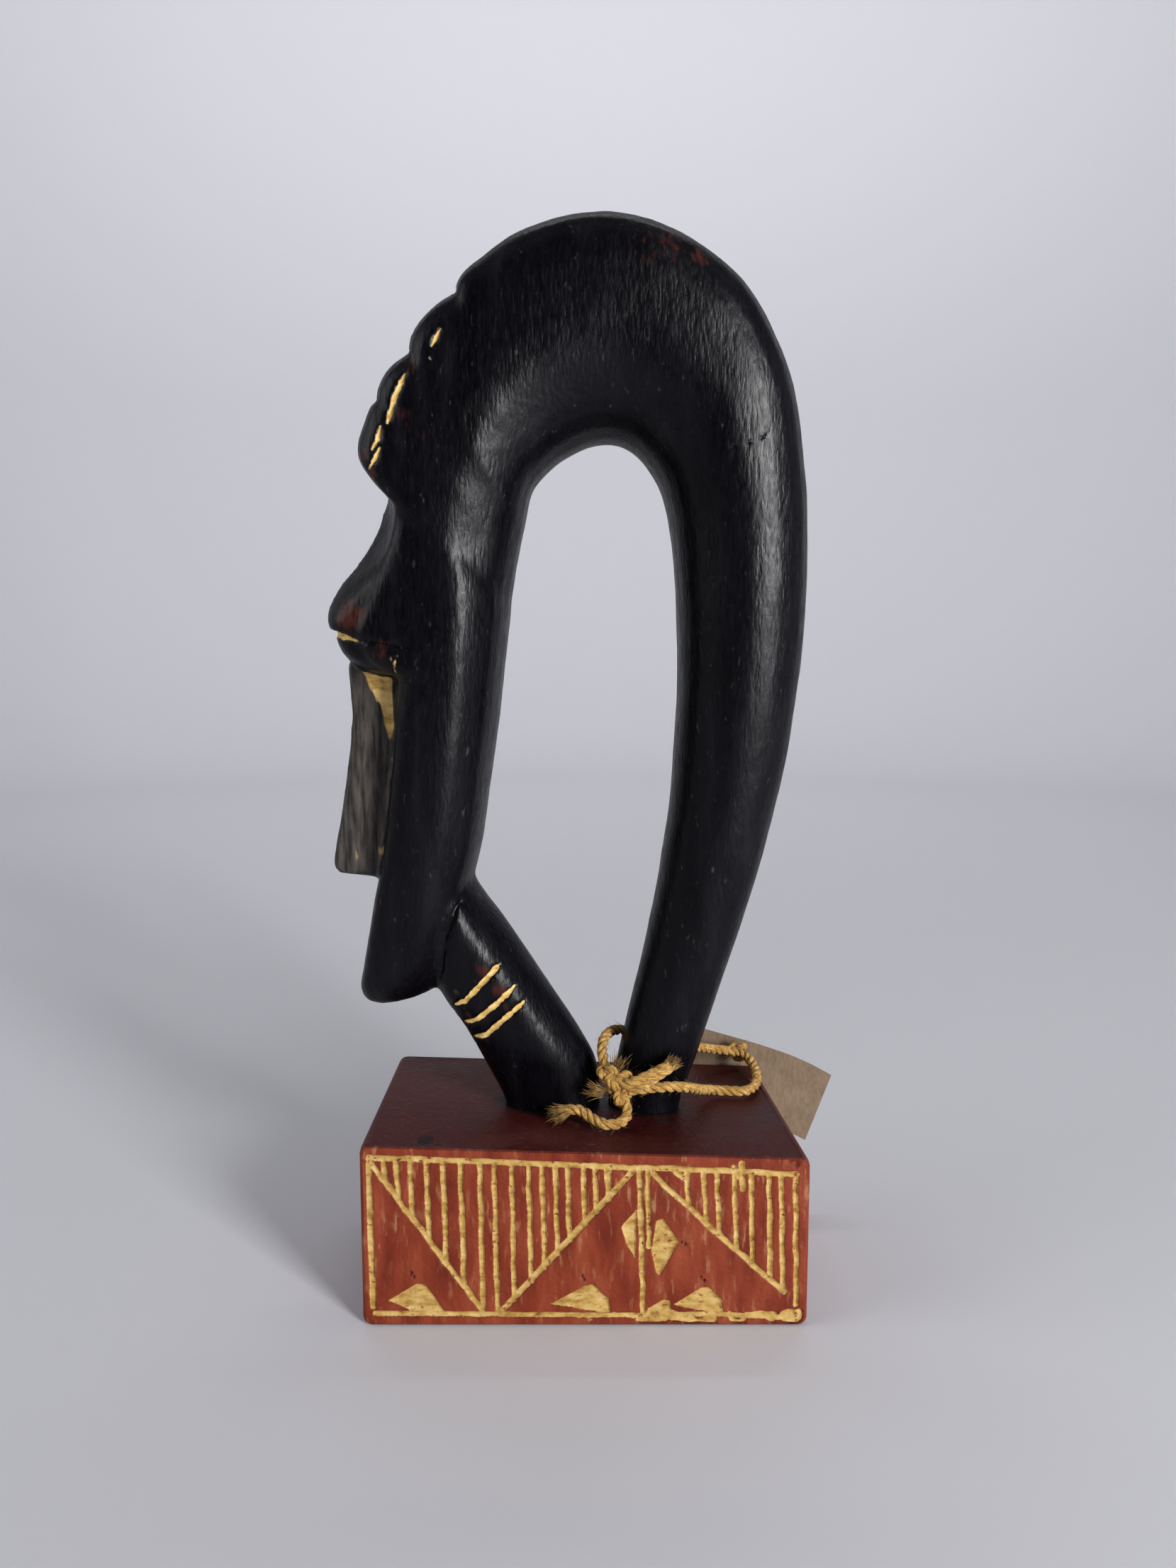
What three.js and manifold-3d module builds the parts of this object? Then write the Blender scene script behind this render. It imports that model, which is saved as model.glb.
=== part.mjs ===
// Carved profile head whose crest sweeps over into an open loop, set on a painted block,
// with a strung paper tag tied round the foot of the crest.
// Millimetres, +Z up, +X away from the face, origin at the middle of the block's underside.

import * as THREE from 'three';
import { mergeVertices } from 'three/addons/utils/BufferGeometryUtils.js';
import Module from 'manifold-3d';

const wasm = await Module();
wasm.setup();

// ---- Driving dimensions -------------------------------------------------------------

// Painted block
const blockLength = 155;
const blockDepth = 90;
const blockHeightFaceEnd = 65.5;
const blockHeightCrestEnd = 61;
const blockEndTaper = 7;
const blockCornerRadius = 4;
const blockEdgeRound = 1.5;

// Carving, measured above the block's top at the block's middle
const carvingHeight = 316.7;
const loopHalfDepth = 30;
const headHalfDepth = 28;
const neckHalfDepth = 20;
const neckFootHalfDepth = 11;
const crestFootHalfDepth = 9.5;
const noseThickness = 22;
const eyeBulgeRadius = 14;

// Tenons under the two feet
const neckTenonLength = 22;
const neckTenonThickness = 14;
const crestTenonLength = 18;
const crestTenonThickness = 12;
const tenonDepth = 26;
const jointGap = 0.3;

// Twine and tag
const twineDiameter = 4;
const twineSides = 8;
const knotRadius = 5.6;
const tagKnotRadius = 4.4;
const tagLength = 58.5;
const tagWidth = 30;
const tagThickness = 0.6;
const tagHoleDiameter = 6;
const tagHoleFromEnd = 17;
const tagHoleFromEdge = 5;
const tagSlope = THREE.MathUtils.degToRad(20.4);

// ---- Helpers --------------------------------------------------------------------------

function blockTop(x) {
  const share = (x + blockLength / 2) / blockLength;
  return THREE.MathUtils.lerp(blockHeightFaceEnd, blockHeightCrestEnd, share);
}

const topAtMiddle = blockTop(0);
const drawnTop = 63.25;
const drawnHeight = 316.7;
const carvingScale = carvingHeight / drawnHeight;

// Height of a point of the carving, whose outline is drawn with the block's top at drawnTop.
function rise(z) {
  return topAtMiddle + (z - drawnTop) * carvingScale;
}

function toSolid(geometry) {
  const bare = geometry.index ? geometry.clone() : geometry;
  bare.deleteAttribute('normal');
  bare.deleteAttribute('uv');
  const merged = mergeVertices(bare, 1e-4);
  return new wasm.Manifold(new wasm.Mesh({
    numProp: 3,
    vertProperties: new Float32Array(merged.attributes.position.array),
    triVerts: new Uint32Array(merged.index.array),
  }));
}

function toGeometry(solid) {
  const mesh = solid.getMesh();
  const geometry = new THREE.BufferGeometry();
  geometry.setAttribute('position', new THREE.BufferAttribute(new Float32Array(mesh.vertProperties), 3));
  geometry.setIndex(new THREE.BufferAttribute(new Uint32Array(mesh.triVerts), 1));
  geometry.computeVertexNormals();
  return geometry;
}

function box(lengthX, depthY, heightZ, x, y, z) {
  return new THREE.BoxGeometry(lengthX, depthY, heightZ).translate(x, y, z);
}

function ellipsoid(center, radii, tilt = 0) {
  return new THREE.SphereGeometry(1, 20, 12)
    .scale(...radii)
    .rotateY(tilt)
    .translate(...center);
}

function circlePoints(radius, count) {
  const points = [];
  for (let i = 0; i < count; i++) {
    const angle = (i / count) * 2 * Math.PI;
    points.push(new THREE.Vector2(radius * Math.cos(angle), radius * Math.sin(angle)));
  }
  return points;
}

// A limb: a section swept between an inner edge and an outer edge, both in the plane Y = 0.
// profile lists [share of the way from inner to outer edge, share of the half depth].
function limb(stations, profile, stepsPerStation) {
  const inner = new THREE.CatmullRomCurve3(
    stations.map(([x, z]) => new THREE.Vector3(x, 0, rise(z))), false, 'centripetal');
  const outer = new THREE.CatmullRomCurve3(
    stations.map(([, , x, z]) => new THREE.Vector3(x, 0, rise(z))), false, 'centripetal');
  const steps = (stations.length - 1) * stepsPerStation;
  const ring = [
    ...profile,
    ...profile.slice(1, -1).reverse().map(([across, deep]) => [across, -deep]),
  ];
  const positions = [];
  for (let i = 0; i <= steps; i++) {
    const t = i / steps;
    const a = inner.getPoint(t);
    const b = outer.getPoint(t);
    const place = t * (stations.length - 1);
    const from = Math.min(Math.floor(place), stations.length - 2);
    const halfDepth = THREE.MathUtils.lerp(stations[from][4], stations[from + 1][4], place - from);
    for (const [across, deep] of ring) {
      positions.push(a.x + (b.x - a.x) * across, deep * halfDepth, a.z + (b.z - a.z) * across);
    }
  }
  const sides = ring.length;
  const indices = [];
  for (let i = 0; i < steps; i++) {
    for (let j = 0; j < sides; j++) {
      const a = i * sides + j;
      const b = i * sides + ((j + 1) % sides);
      indices.push(a, b, a + sides, b, b + sides, a + sides);
    }
  }
  const last = steps * sides;
  for (let j = 1; j < sides - 1; j++) {
    indices.push(0, j + 1, j);
    indices.push(last, last + j, last + j + 1);
  }
  const geometry = new THREE.BufferGeometry();
  geometry.setAttribute('position', new THREE.Float32BufferAttribute(positions, 3));
  geometry.setIndex(indices);
  const solid = toSolid(geometry);
  return solid.volume() < 0 ? toSolid(flip(geometry)) : solid;
}

function flip(geometry) {
  const turned = geometry.clone();
  const order = Array.from(turned.index.array);
  for (let i = 0; i < order.length; i += 3) {
    [order[i], order[i + 1]] = [order[i + 1], order[i]];
  }
  turned.setIndex(order);
  return turned;
}

function namedMesh(name, geometry, color, roughness) {
  const material = new THREE.MeshStandardMaterial({ color, roughness, metalness: 0 });
  const mesh = new THREE.Mesh(geometry, material);
  mesh.name = name;
  return mesh;
}

// ---- Tenons ---------------------------------------------------------------------------

const tenons = [
  { x: -12, length: neckTenonLength, thickness: neckTenonThickness },
  { x: 22, length: crestTenonLength, thickness: crestTenonThickness },
];

function tenonGeometry({ x, length, thickness }, gap) {
  const top = blockTop(x) + 6;
  const bottom = blockTop(x) - tenonDepth - gap;
  return box(length + 2 * gap, thickness + 2 * gap, top - bottom, x, 0, (top + bottom) / 2);
}

// ---- Painted block: sawn wood, top falling towards the crest end, ends slightly tapered ----

function makeBlock() {
  const half = blockLength / 2 - blockEdgeRound;
  const front = -blockDepth / 2 + blockEdgeRound;
  const back = -front;
  const r = blockCornerRadius;
  const plan = new THREE.Shape();
  plan.moveTo(-half + r, front);
  plan.lineTo(half - r, front);
  plan.quadraticCurveTo(half, front, half, front + r);
  plan.lineTo(half - blockEndTaper, back - r);
  plan.quadraticCurveTo(half - blockEndTaper, back, half - blockEndTaper - r, back);
  plan.lineTo(-half + r, back);
  plan.quadraticCurveTo(-half, back, -half, back - r);
  plan.lineTo(-half, front + r);
  plan.quadraticCurveTo(-half, front, -half + r, front);
  const geometry = new THREE.ExtrudeGeometry(plan, {
    depth: 1 - 2 * blockEdgeRound / blockHeightFaceEnd,
    bevelThickness: blockEdgeRound / blockHeightFaceEnd,
    bevelSize: blockEdgeRound,
    bevelSegments: 3,
    curveSegments: 5,
  });
  geometry.translate(0, 0, blockEdgeRound / blockHeightFaceEnd);
  const position = geometry.attributes.position;
  for (let i = 0; i < position.count; i++) {
    position.setZ(i, position.getZ(i) * blockTop(position.getX(i)));
  }
  let solid = toSolid(geometry);
  for (const tenon of tenons) {
    solid = solid.subtract(toSolid(tenonGeometry(tenon, jointGap)));
  }
  return toGeometry(solid);
}

// ---- Carving: head, crest loop and neck cut from one piece -------------------------------

const loopProfile = [
  [0, 0], [0.05, 0.42], [0.14, 0.76], [0.3, 0.95], [0.5, 1], [0.72, 0.93], [0.89, 0.66], [0.98, 0.3], [1, 0],
];
const neckProfile = [
  [0, 0], [0.03, 0.45], [0.14, 0.85], [0.35, 1], [0.6, 0.96], [0.82, 0.74], [0.95, 0.4], [1, 0],
];

// Each station: inner edge x, z, outer edge x, z, half depth.
const crestStations = [
  [8.5, 58, 34.5, 58, crestFootHalfDepth],
  [12.2, 83, 41.5, 82, crestFootHalfDepth + 2],
  [19.5, 114, 52.5, 116, 15],
  [26.7, 150, 63.3, 152, 19],
  [31.6, 186, 71.5, 187, 22.5],
  [33.2, 222, 76.8, 223, 25.5],
  [32.4, 256, 79, 258, 27.5],
  [29.3, 281, 77.5, 295, 29],
  [24, 295, 69.5, 332, loopHalfDepth],
  [15, 304.5, 49.5, 362.5, loopHalfDepth],
  [3, 305.8, 14, 380, loopHalfDepth],
  [-9, 300, -20, 374.5, loopHalfDepth],
  [-18, 291, -42, 356, loopHalfDepth],
  [-23, 274, -58, 331, loopHalfDepth],
  [-26, 256, -68, 304, headHalfDepth + 1],
  [-28.5, 236, -66, 266, headHalfDepth],
  [-31, 212, -66, 222, headHalfDepth],
  [-35, 183, -69, 190, headHalfDepth - 1],
  [-38, 163, -72, 163, headHalfDepth - 2],
  [-42, 148, -79, 138, headHalfDepth - 4],
  [-47, 130, -82.2, 118, headHalfDepth - 7],
  [-52, 112, -80.5, 106, headHalfDepth - 11],
];
const neckStations = [
  [-66, 140, -38, 156, neckHalfDepth],
  [-54.5, 110, -30, 134, neckHalfDepth],
  [-46, 97.5, -14, 110, neckHalfDepth - 3],
  [-38, 82, -1, 90, neckHalfDepth - 6],
  [-31, 68, 4.6, 78, neckFootHalfDepth + 1],
  [-29.5, 58, 5, 58, neckFootHalfDepth],
];
const noseOutline = [
  [-62, 232], [-84.7, 229], [-83.4, 213], [-84.2, 201], [-85.5, 189], [-88, 175], [-91.5, 157], [-89.5, 152.4],
  [-62, 150.5],
];
// Hair lobes down the front of the crest: centre x, z, length radius, height radius, tilt.
const hairLobes = [
  [-46.5, 341.5, 8, 14, 0.8],
  [-58.5, 324.5, 8, 13, 0.75],
  [-67, 304, 9, 15.5, 0.3],
];
const hairHalfDepth = 20;
const eyeOffset = 13;

function makeCarving() {
  let solid = limb(crestStations, loopProfile, 3);
  solid = solid.add(limb(neckStations, neckProfile, 3));

  const noseShape = new THREE.Shape(noseOutline.map(([x, z]) => new THREE.Vector2(x, rise(z))));
  const nose = new THREE.ExtrudeGeometry(noseShape, { depth: noseThickness, bevelEnabled: false });
  nose.translate(0, 0, -noseThickness / 2).rotateX(Math.PI / 2);
  solid = solid.add(toSolid(nose));

  for (const side of [-1, 1]) {
    const center = [-74.5, side * eyeOffset, rise(246)];
    solid = solid.add(toSolid(ellipsoid(center, [eyeBulgeRadius + 2.5, eyeBulgeRadius, eyeBulgeRadius + 4], 0.3)));
  }
  for (const [x, z, radius, height, tilt] of hairLobes) {
    solid = solid.add(toSolid(ellipsoid([x, 0, rise(z)], [radius, hairHalfDepth, height], tilt)));
  }

  // Both feet are sawn to the slope of the block's top.
  const reach = 2 * blockLength;
  const slope = Math.atan2(blockHeightCrestEnd - blockHeightFaceEnd, blockLength);
  const below = box(reach, reach, reach, 0, 0, -reach / 2 + jointGap / Math.cos(slope));
  below.rotateY(-slope).translate(0, 0, topAtMiddle);
  solid = solid.subtract(toSolid(below));
  for (const tenon of tenons) {
    solid = solid.add(toSolid(tenonGeometry(tenon, 0)));
  }
  return toGeometry(solid);
}

// ---- Twine: one length tied round the crest foot, with the tag in its bight ---------------

const onBlock = twineDiameter / 2 + jointGap;
const mainKnotAt = [12, -16.6, blockTop(12) + 12.2];
const tagKnotAt = [63.3, 42.6, blockTop(63.3) + 6.6];

const frontStrand = [
  [17.5, -17.4, 74.6], [24, -16.6, 75], [31, -15.2, 75], [37.5, -11.8, 73.4], [42.3, -5, 70], [46, 3.2, 66.6],
  [50.5, 8, 64.6], [56, 8.6, 64.1], [61.5, 8.8, 64], [65.6, 13, 63.9], [67.8, 20, 64], [68.6, 28, 64.8],
  [67.6, 34.6, 66.4], [66.2, 38, 67.4],
];
const backStrand = [
  [58.6, 40.6, 69], [52, 36, 71.2], [45, 28.6, 74.6], [38, 20.6, 78], [29, 16.6, 81.6], [20, 15.6, 85],
  [12.4, 11, 87.8], [8.8, 4, 88.7], [6.6, -3.4, 87.8], [6.4, -9.6, 85], [7.6, -13.8, 81.6], [10, -15.8, 78.6],
];
const longTail = [
  [14.8, -19.6, 70.2], [15, -22.8, 67], [12, -26.6, 65.8], [7.4, -27.6, 65.9], [3.2, -24.8, 66.4], [-1, -21.6, 68.2],
  [-5.2, -20.2, 68.4], [-9, -20, 66.9],
];
const shortTail = [
  [16.6, -20.4, 78.4], [21.4, -19.6, 80.2], [26.6, -17.6, 82], [31, -16, 84],
];

function tube(points, diameter, step) {
  const curve = new THREE.CatmullRomCurve3(points.map((p) => new THREE.Vector3(...p)), false, 'centripetal');
  const section = new THREE.Shape(circlePoints(diameter / 2, twineSides));
  const steps = Math.round(curve.getLength() / step);
  return new THREE.ExtrudeGeometry(section, { steps, extrudePath: curve, bevelEnabled: false });
}

// ---- Paper tag --------------------------------------------------------------------------

// The hole sits over the tag knot's peg; the tag lies against nothing, just behind the block.
const tagPlaneY = blockDepth / 2 + 3.6;
const tagHoleAt = [tagKnotAt[0], tagPlaneY, tagKnotAt[2] - 2.2];
const tagPegDiameter = twineDiameter - 0.4;

function makeTag() {
  const clip = 3;
  const left = -tagHoleFromEnd;
  const right = left + tagLength;
  const top = tagHoleFromEdge;
  const bottom = top - tagWidth;
  const outline = new THREE.Shape([
    new THREE.Vector2(left, top), new THREE.Vector2(right - clip / 3, top),
    new THREE.Vector2(right, top - clip / 3), new THREE.Vector2(right, bottom + clip / 3),
    new THREE.Vector2(right - clip / 3, bottom), new THREE.Vector2(left, bottom),
  ]);
  outline.holes.push(new THREE.Path(circlePoints(tagHoleDiameter / 2, 16)));
  const geometry = new THREE.ExtrudeGeometry(outline, { depth: tagThickness, bevelEnabled: false });
  geometry.translate(0, 0, -tagThickness / 2).rotateX(Math.PI / 2);
  return geometry;
}

function makeTagKnot() {
  const pegEnd = tagPlaneY + tagThickness / 2 + 2.4;
  const pegLength = pegEnd - tagKnotAt[1];
  const peg = new THREE.CylinderGeometry(tagPegDiameter / 2, tagPegDiameter / 2, pegLength, 12)
    .translate(tagHoleAt[0], tagKnotAt[1] + pegLength / 2, tagHoleAt[2]);
  const lump = ellipsoid(tagKnotAt, [tagKnotRadius, tagKnotRadius, tagKnotRadius]);
  const stop = ellipsoid([tagHoleAt[0], pegEnd, tagHoleAt[2]], [tagHoleDiameter / 2 + 1, 1.6, tagHoleDiameter / 2 + 1]);
  return toGeometry(toSolid(lump).add(toSolid(peg)).add(toSolid(stop)));
}

// ---- Assembly -----------------------------------------------------------------------------

const twineColor = 0xa8843f;
const twineRoughness = 0.95;
const carvingAndTwine = new THREE.Group();

carvingAndTwine.add(namedMesh('painted_block', makeBlock(), 0x8a3a2a, 0.5));
carvingAndTwine.add(namedMesh('carved_head_and_loop', makeCarving(), 0x1c1a1f, 0.35));

const mainKnot = ellipsoid(mainKnotAt, [knotRadius, knotRadius - 1.4, knotRadius - 0.4]);
const twineParts = {
  twine_main_knot: toGeometry(toSolid(mainKnot)),
  twine_tag_knot: makeTagKnot(),
  twine_front_strand: tube(frontStrand, twineDiameter, 5),
  twine_back_strand: tube(backStrand, twineDiameter, 5),
  twine_long_tail: tube(longTail, twineDiameter, 4),
  twine_short_tail: tube(shortTail, twineDiameter, 4),
};
for (const [name, geometry] of Object.entries(twineParts)) {
  const clear = name.endsWith('knot') ? geometry : toGeometry(
    toSolid(geometry)
      .subtract(toSolid(ellipsoid(mainKnotAt, [knotRadius + jointGap, knotRadius - 1.4 + jointGap,
        knotRadius - 0.4 + jointGap])))
      .subtract(toSolid(ellipsoid(tagKnotAt, Array(3).fill(tagKnotRadius + jointGap)))));
  carvingAndTwine.add(namedMesh(name, clear, twineColor, twineRoughness));
}

const tag = namedMesh('paper_tag', makeTag(), 0x8f7a62, 0.9);
tag.rotation.y = tagSlope;
tag.position.set(...tagHoleAt);
carvingAndTwine.add(tag);

export default carvingAndTwine;
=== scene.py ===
import math
import random

import bmesh
import bpy
import numpy as np
from mathutils import Matrix, Vector, noise


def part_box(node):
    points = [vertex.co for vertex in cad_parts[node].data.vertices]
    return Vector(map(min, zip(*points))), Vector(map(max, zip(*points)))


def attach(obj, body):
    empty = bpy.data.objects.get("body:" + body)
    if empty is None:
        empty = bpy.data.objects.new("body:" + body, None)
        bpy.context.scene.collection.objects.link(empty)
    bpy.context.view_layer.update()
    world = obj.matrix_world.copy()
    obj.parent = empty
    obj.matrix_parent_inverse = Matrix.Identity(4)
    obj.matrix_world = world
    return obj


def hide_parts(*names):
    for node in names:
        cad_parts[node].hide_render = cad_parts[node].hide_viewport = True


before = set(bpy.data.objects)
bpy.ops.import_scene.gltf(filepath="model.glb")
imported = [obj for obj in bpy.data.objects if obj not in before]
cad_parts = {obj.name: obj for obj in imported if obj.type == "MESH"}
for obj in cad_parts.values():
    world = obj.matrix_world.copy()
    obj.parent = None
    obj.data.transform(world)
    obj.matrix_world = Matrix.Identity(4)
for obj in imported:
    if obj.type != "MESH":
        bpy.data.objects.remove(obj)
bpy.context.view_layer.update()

MM = 0.001


# ---- Studio -----------------------------------------------------------------------------
# A round room of pale paper whose floor sweeps up into its wall. Light comes from a tall
# window on the right, a weaker one on the left, a lamp on the far wall and the open top, and
# the camera stands a little above the middle of the carving.

camera_data = bpy.data.cameras.new("camera")
camera_data.sensor_fit = "VERTICAL"
camera_data.sensor_height = 36
camera_data.lens = 26.85
camera_data.clip_start = 0.01
camera = bpy.data.objects.new("camera", camera_data)
camera.location = (0.001, -0.4273, 0.2346)
camera.rotation_euler = (math.radians(90 - 6.66), 0, 0)
bpy.context.collection.objects.link(camera)
bpy.context.scene.camera = camera


def shader_of(material):
    return material.node_tree.nodes["Principled BSDF"]


def new_material(name, **sockets):
    """A material whose shader sockets are set by name, such as Roughness=0.5 or Coat_Weight=0.3."""
    material = bpy.data.materials.new(name)
    material.use_nodes = True
    shader = shader_of(material)
    for socket, value in sockets.items():
        shader.inputs[socket.replace("_", " ")].default_value = value
    return material


def turn_faces(inside=False):
    """Turns every face of the active object outwards, or inwards for a room seen from within."""
    bpy.ops.object.mode_set(mode="EDIT")
    bpy.ops.mesh.select_all(action="SELECT")
    bpy.ops.mesh.normals_make_consistent(inside=inside)
    bpy.ops.object.mode_set(mode="OBJECT")


def apply_modifier(kind, **settings):
    """Reworks the active object with a modifier and keeps the result."""
    modifier = bpy.context.active_object.modifiers.new(kind.lower(), kind)
    for key, value in settings.items():
        setattr(modifier, key, value)
    bpy.ops.object.modifier_apply(modifier=modifier.name)


# The room is a cylinder without its lid, its foot swept up in a wide curve.
room_radius, room_height, sweep_width = 2.5, 2.4, 0.8
bpy.ops.object.select_all(action="DESELECT")
bpy.ops.mesh.primitive_cylinder_add(vertices=96, radius=room_radius, depth=room_height,
                                    location=(0, 0, room_height / 2 - 0.0002))
backdrop = bpy.context.active_object
backdrop.name = "backdrop"
bpy.ops.object.mode_set(mode="EDIT")
bpy.ops.mesh.select_mode(type="FACE")
bpy.ops.mesh.select_all(action="DESELECT")
room = bmesh.from_edit_mesh(backdrop.data)
for face in room.faces:
    face.select_set(face.calc_center_median().z > room_height * 0.49)
bmesh.update_edit_mesh(backdrop.data)
bpy.ops.mesh.delete(type="FACE")
turn_faces(inside=True)
apply_modifier("BEVEL", width=sweep_width, segments=24, angle_limit=math.radians(60))
bpy.ops.object.shade_smooth()
backdrop_paper = new_material("backdrop_paper", Base_Color=(0.6, 0.6, 0.63, 1), Roughness=0.9)
backdrop.data.materials.append(backdrop_paper)

# A black card behind the camera keeps the wood's near faces dark. Only reflections see it.
card_width, card_height = 4, 2.28
bpy.ops.mesh.primitive_plane_add(size=1, location=(0, -1.5, 1.15), rotation=(math.radians(90), 0, 0))
card = bpy.context.active_object
card.name = "black_card"
bpy.ops.transform.resize(value=(card_width, 1, card_height))
bpy.ops.object.transform_apply(location=True, rotation=True, scale=True)
card.visible_camera = False
card.visible_shadow = False
card.visible_diffuse = False
black_felt = new_material("black_felt", Base_Color=(0.01, 0.01, 0.01, 1), Roughness=1.0)
card.data.materials.append(black_felt)

# Each light has its place, what it is aimed at, its width, height and power.
for name, place, aim, width, height, power in (
    ("window_right", (0.95, -1.25, 0.54), (0, 0, 0.2), 0.34, 0.86, 28),
    ("window_left", (-1.3, -0.35, 0.8), (0, 0, 0.15), 0.9, 0.9, 4.5),
    ("wall_lamp", (0, 0.9, 2.1), (0, 2.5, 0.9), 1.6, 0.4, 21),
):
    light_data = bpy.data.lights.new(name, "AREA")
    light_data.shape = "RECTANGLE"
    light_data.size = width
    light_data.size_y = height
    light_data.energy = power
    light = bpy.data.objects.new(name, light_data)
    light.location = place
    light.rotation_euler = (Vector(aim) - Vector(place)).to_track_quat("-Z", "Y").to_euler()
    bpy.context.collection.objects.link(light)

world = bpy.data.worlds.new("studio_air")
world.use_nodes = True
world.node_tree.nodes["Background"].inputs["Color"].default_value = (0.93, 0.95, 1, 1)
world.node_tree.nodes["Background"].inputs["Strength"].default_value = 0.2
bpy.context.scene.world = world
bpy.context.scene.view_settings.view_transform = "Standard"
bpy.context.scene.view_settings.look = "Medium High Contrast"


# ---- Twine ------------------------------------------------------------------------------
# One length of three-ply jute, tied round the foot of the crest with a knot in front. Its
# bight lies along the block's top to the tag and comes back behind the crest. Both cut ends
# are frayed, and loose fibres stand out all along it.

twine_diameter = 4 * MM
ply_radius = 0.98 * MM
ply_offset = 1.02 * MM
twist_pitch = 10.5 * MM

long_tail = [
    (-9, -20, 66.9), (-5.2, -20.2, 68.4), (-1, -21.6, 68.2), (3.2, -24.8, 66.4), (7.4, -27.6, 65.9),
    (12, -26.6, 65.8), (15, -22.8, 67), (14.8, -19.6, 70.2),
]
front_strand = [
    (17.5, -17.4, 74.6), (24, -16.6, 75), (31, -15.2, 75), (37.5, -11.8, 73.4), (42.3, -5, 70),
    (46, 3.2, 66.6), (50.5, 8, 64.6), (56, 8.6, 64.1), (61.5, 8.8, 64), (65.6, 13, 63.9),
    (67.8, 20, 64), (68.6, 28, 64.8), (67.6, 34.6, 66.4), (66.2, 38, 67.4),
]
back_strand = [
    (58.6, 40.6, 69), (52, 36, 71.2), (45, 28.6, 74.6), (38, 20.6, 78), (29, 16.6, 81.6),
    (20, 15.6, 85), (12.4, 11, 87.8), (8.8, 4, 88.7), (6.6, -3.4, 87.8), (6.4, -9.6, 85),
    (7.6, -13.8, 81.6), (10, -15.8, 78.6),
]
short_tail = [(16.6, -20.4, 78.4), (21.4, -19.6, 80.2), (26.6, -17.6, 82), (31, -16, 84)]
main_knot_at = Vector((12.4, -16.6, 77)) * MM
tag_knot_at = Vector((63.3, 42.6, 68)) * MM
tag_hole_at = Vector((63.3, 48.6, 65.8)) * MM


def smooth_line(points, step):
    """Evenly spaced points on a smooth curve through points, in the same units."""
    given = [np.array(p, float) for p in points]
    given = [2 * given[0] - given[1]] + given + [2 * given[-1] - given[-2]]
    dense = []
    for a, b, c, d in zip(given, given[1:], given[2:], given[3:]):
        for t in np.linspace(0, 1, 24, endpoint=False):
            dense.append(0.5 * (2 * b + (c - a) * t + (2 * a - 5 * b + 4 * c - d) * t * t
                                + (3 * b - a - 3 * c + d) * t ** 3))
    dense.append(given[-2])
    dense = np.array(dense)
    run = np.concatenate([[0], np.cumsum(np.linalg.norm(np.diff(dense, axis=0), axis=1))])
    even = np.linspace(0, run[-1], max(2, int(round(run[-1] / step)) + 1))
    return np.stack([np.interp(even, run, dense[:, k]) for k in range(3)], axis=1)


def frames_along(line):
    """Tangent, normal and binormal at each point, turning no more than the line does."""
    tangents = np.gradient(line, axis=0)
    tangents /= np.linalg.norm(tangents, axis=1)[:, None]
    normal = np.cross(tangents[0], (0, 0, 1.0))
    if np.linalg.norm(normal) < 0.1:
        normal = np.cross(tangents[0], (1.0, 0, 0))
    frames = []
    for tangent in tangents:
        normal = normal - tangent * np.dot(normal, tangent)
        normal /= np.linalg.norm(normal)
        frames.append((tangent, normal, np.cross(tangent, normal)))
    return frames


def add_tube(bm, line, radii, sides, uv):
    """A closed round tube along line, with u round it and v along it in metres."""
    frames = frames_along(line)
    rings = []
    for point, (tangent, normal, binormal), radius in zip(line, frames, radii):
        ring = []
        for k in range(sides):
            angle = 2 * math.pi * k / sides
            outwards = math.cos(angle) * normal + math.sin(angle) * binormal
            ring.append(bm.verts.new(point + radius * outwards))
        rings.append(ring)
    run = np.concatenate([[0], np.cumsum(np.linalg.norm(np.diff(line, axis=0), axis=1))])
    for i in range(len(rings) - 1):
        for k in range(sides):
            nxt = (k + 1) % sides
            face = bm.faces.new((rings[i][k], rings[i][nxt], rings[i + 1][nxt], rings[i + 1][k]))
            face.smooth = True
            corners = ((k, i), (k + 1, i), (k + 1, i + 1), (k, i + 1))
            for loop, (around, along) in zip(face.loops, corners):
                loop[uv].uv = (around / sides, run[along])
    for ring, order in ((rings[0], -1), (rings[-1], 1)):
        bm.faces.new(ring[::order])


def lay_plies(bm, line, uv, turn=0.0, plies=3, scale=1.0):
    """Twists plies round line, as the rope-maker lays them."""
    frames = frames_along(line)
    step = np.linalg.norm(line[1] - line[0])
    for ply in range(plies):
        strand = []
        radii = []
        for i, (point, (tangent, normal, binormal)) in enumerate(zip(line, frames)):
            angle = turn + 2 * math.pi * (ply / plies + i * step / (twist_pitch * scale))
            outwards = math.cos(angle) * normal + math.sin(angle) * binormal
            strand.append(point + ply_offset * scale * outwards)
            swell = noise.noise(Vector(point) * 400 + Vector((ply * 7.0, 0, 0)))
            radii.append(ply_radius * scale * (1 + 0.16 * swell))
        add_tube(bm, np.array(strand), radii, 10, uv)


def piece_from(bm, name):
    mesh = bpy.data.meshes.new(name)
    bm.to_mesh(mesh)
    bm.free()
    piece = bpy.data.objects.new(name, mesh)
    bpy.context.collection.objects.link(piece)
    return piece


# The whole length runs through the main knot, the tag knot and the main knot again.
ply_step = 0.8 * MM
twine_points = long_tail + [(13, -18, 74)] + front_strand + [(63.3, 40.4, 68.4)] + back_strand
twine_points += [(13, -18.4, 77.4)] + short_tail
twine_route = smooth_line(np.array(twine_points) * MM, ply_step)
twine_mesh = bmesh.new()
twine_uv = twine_mesh.loops.layers.uv.new("ply")
lay_plies(twine_mesh, twine_route, twine_uv)
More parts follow.
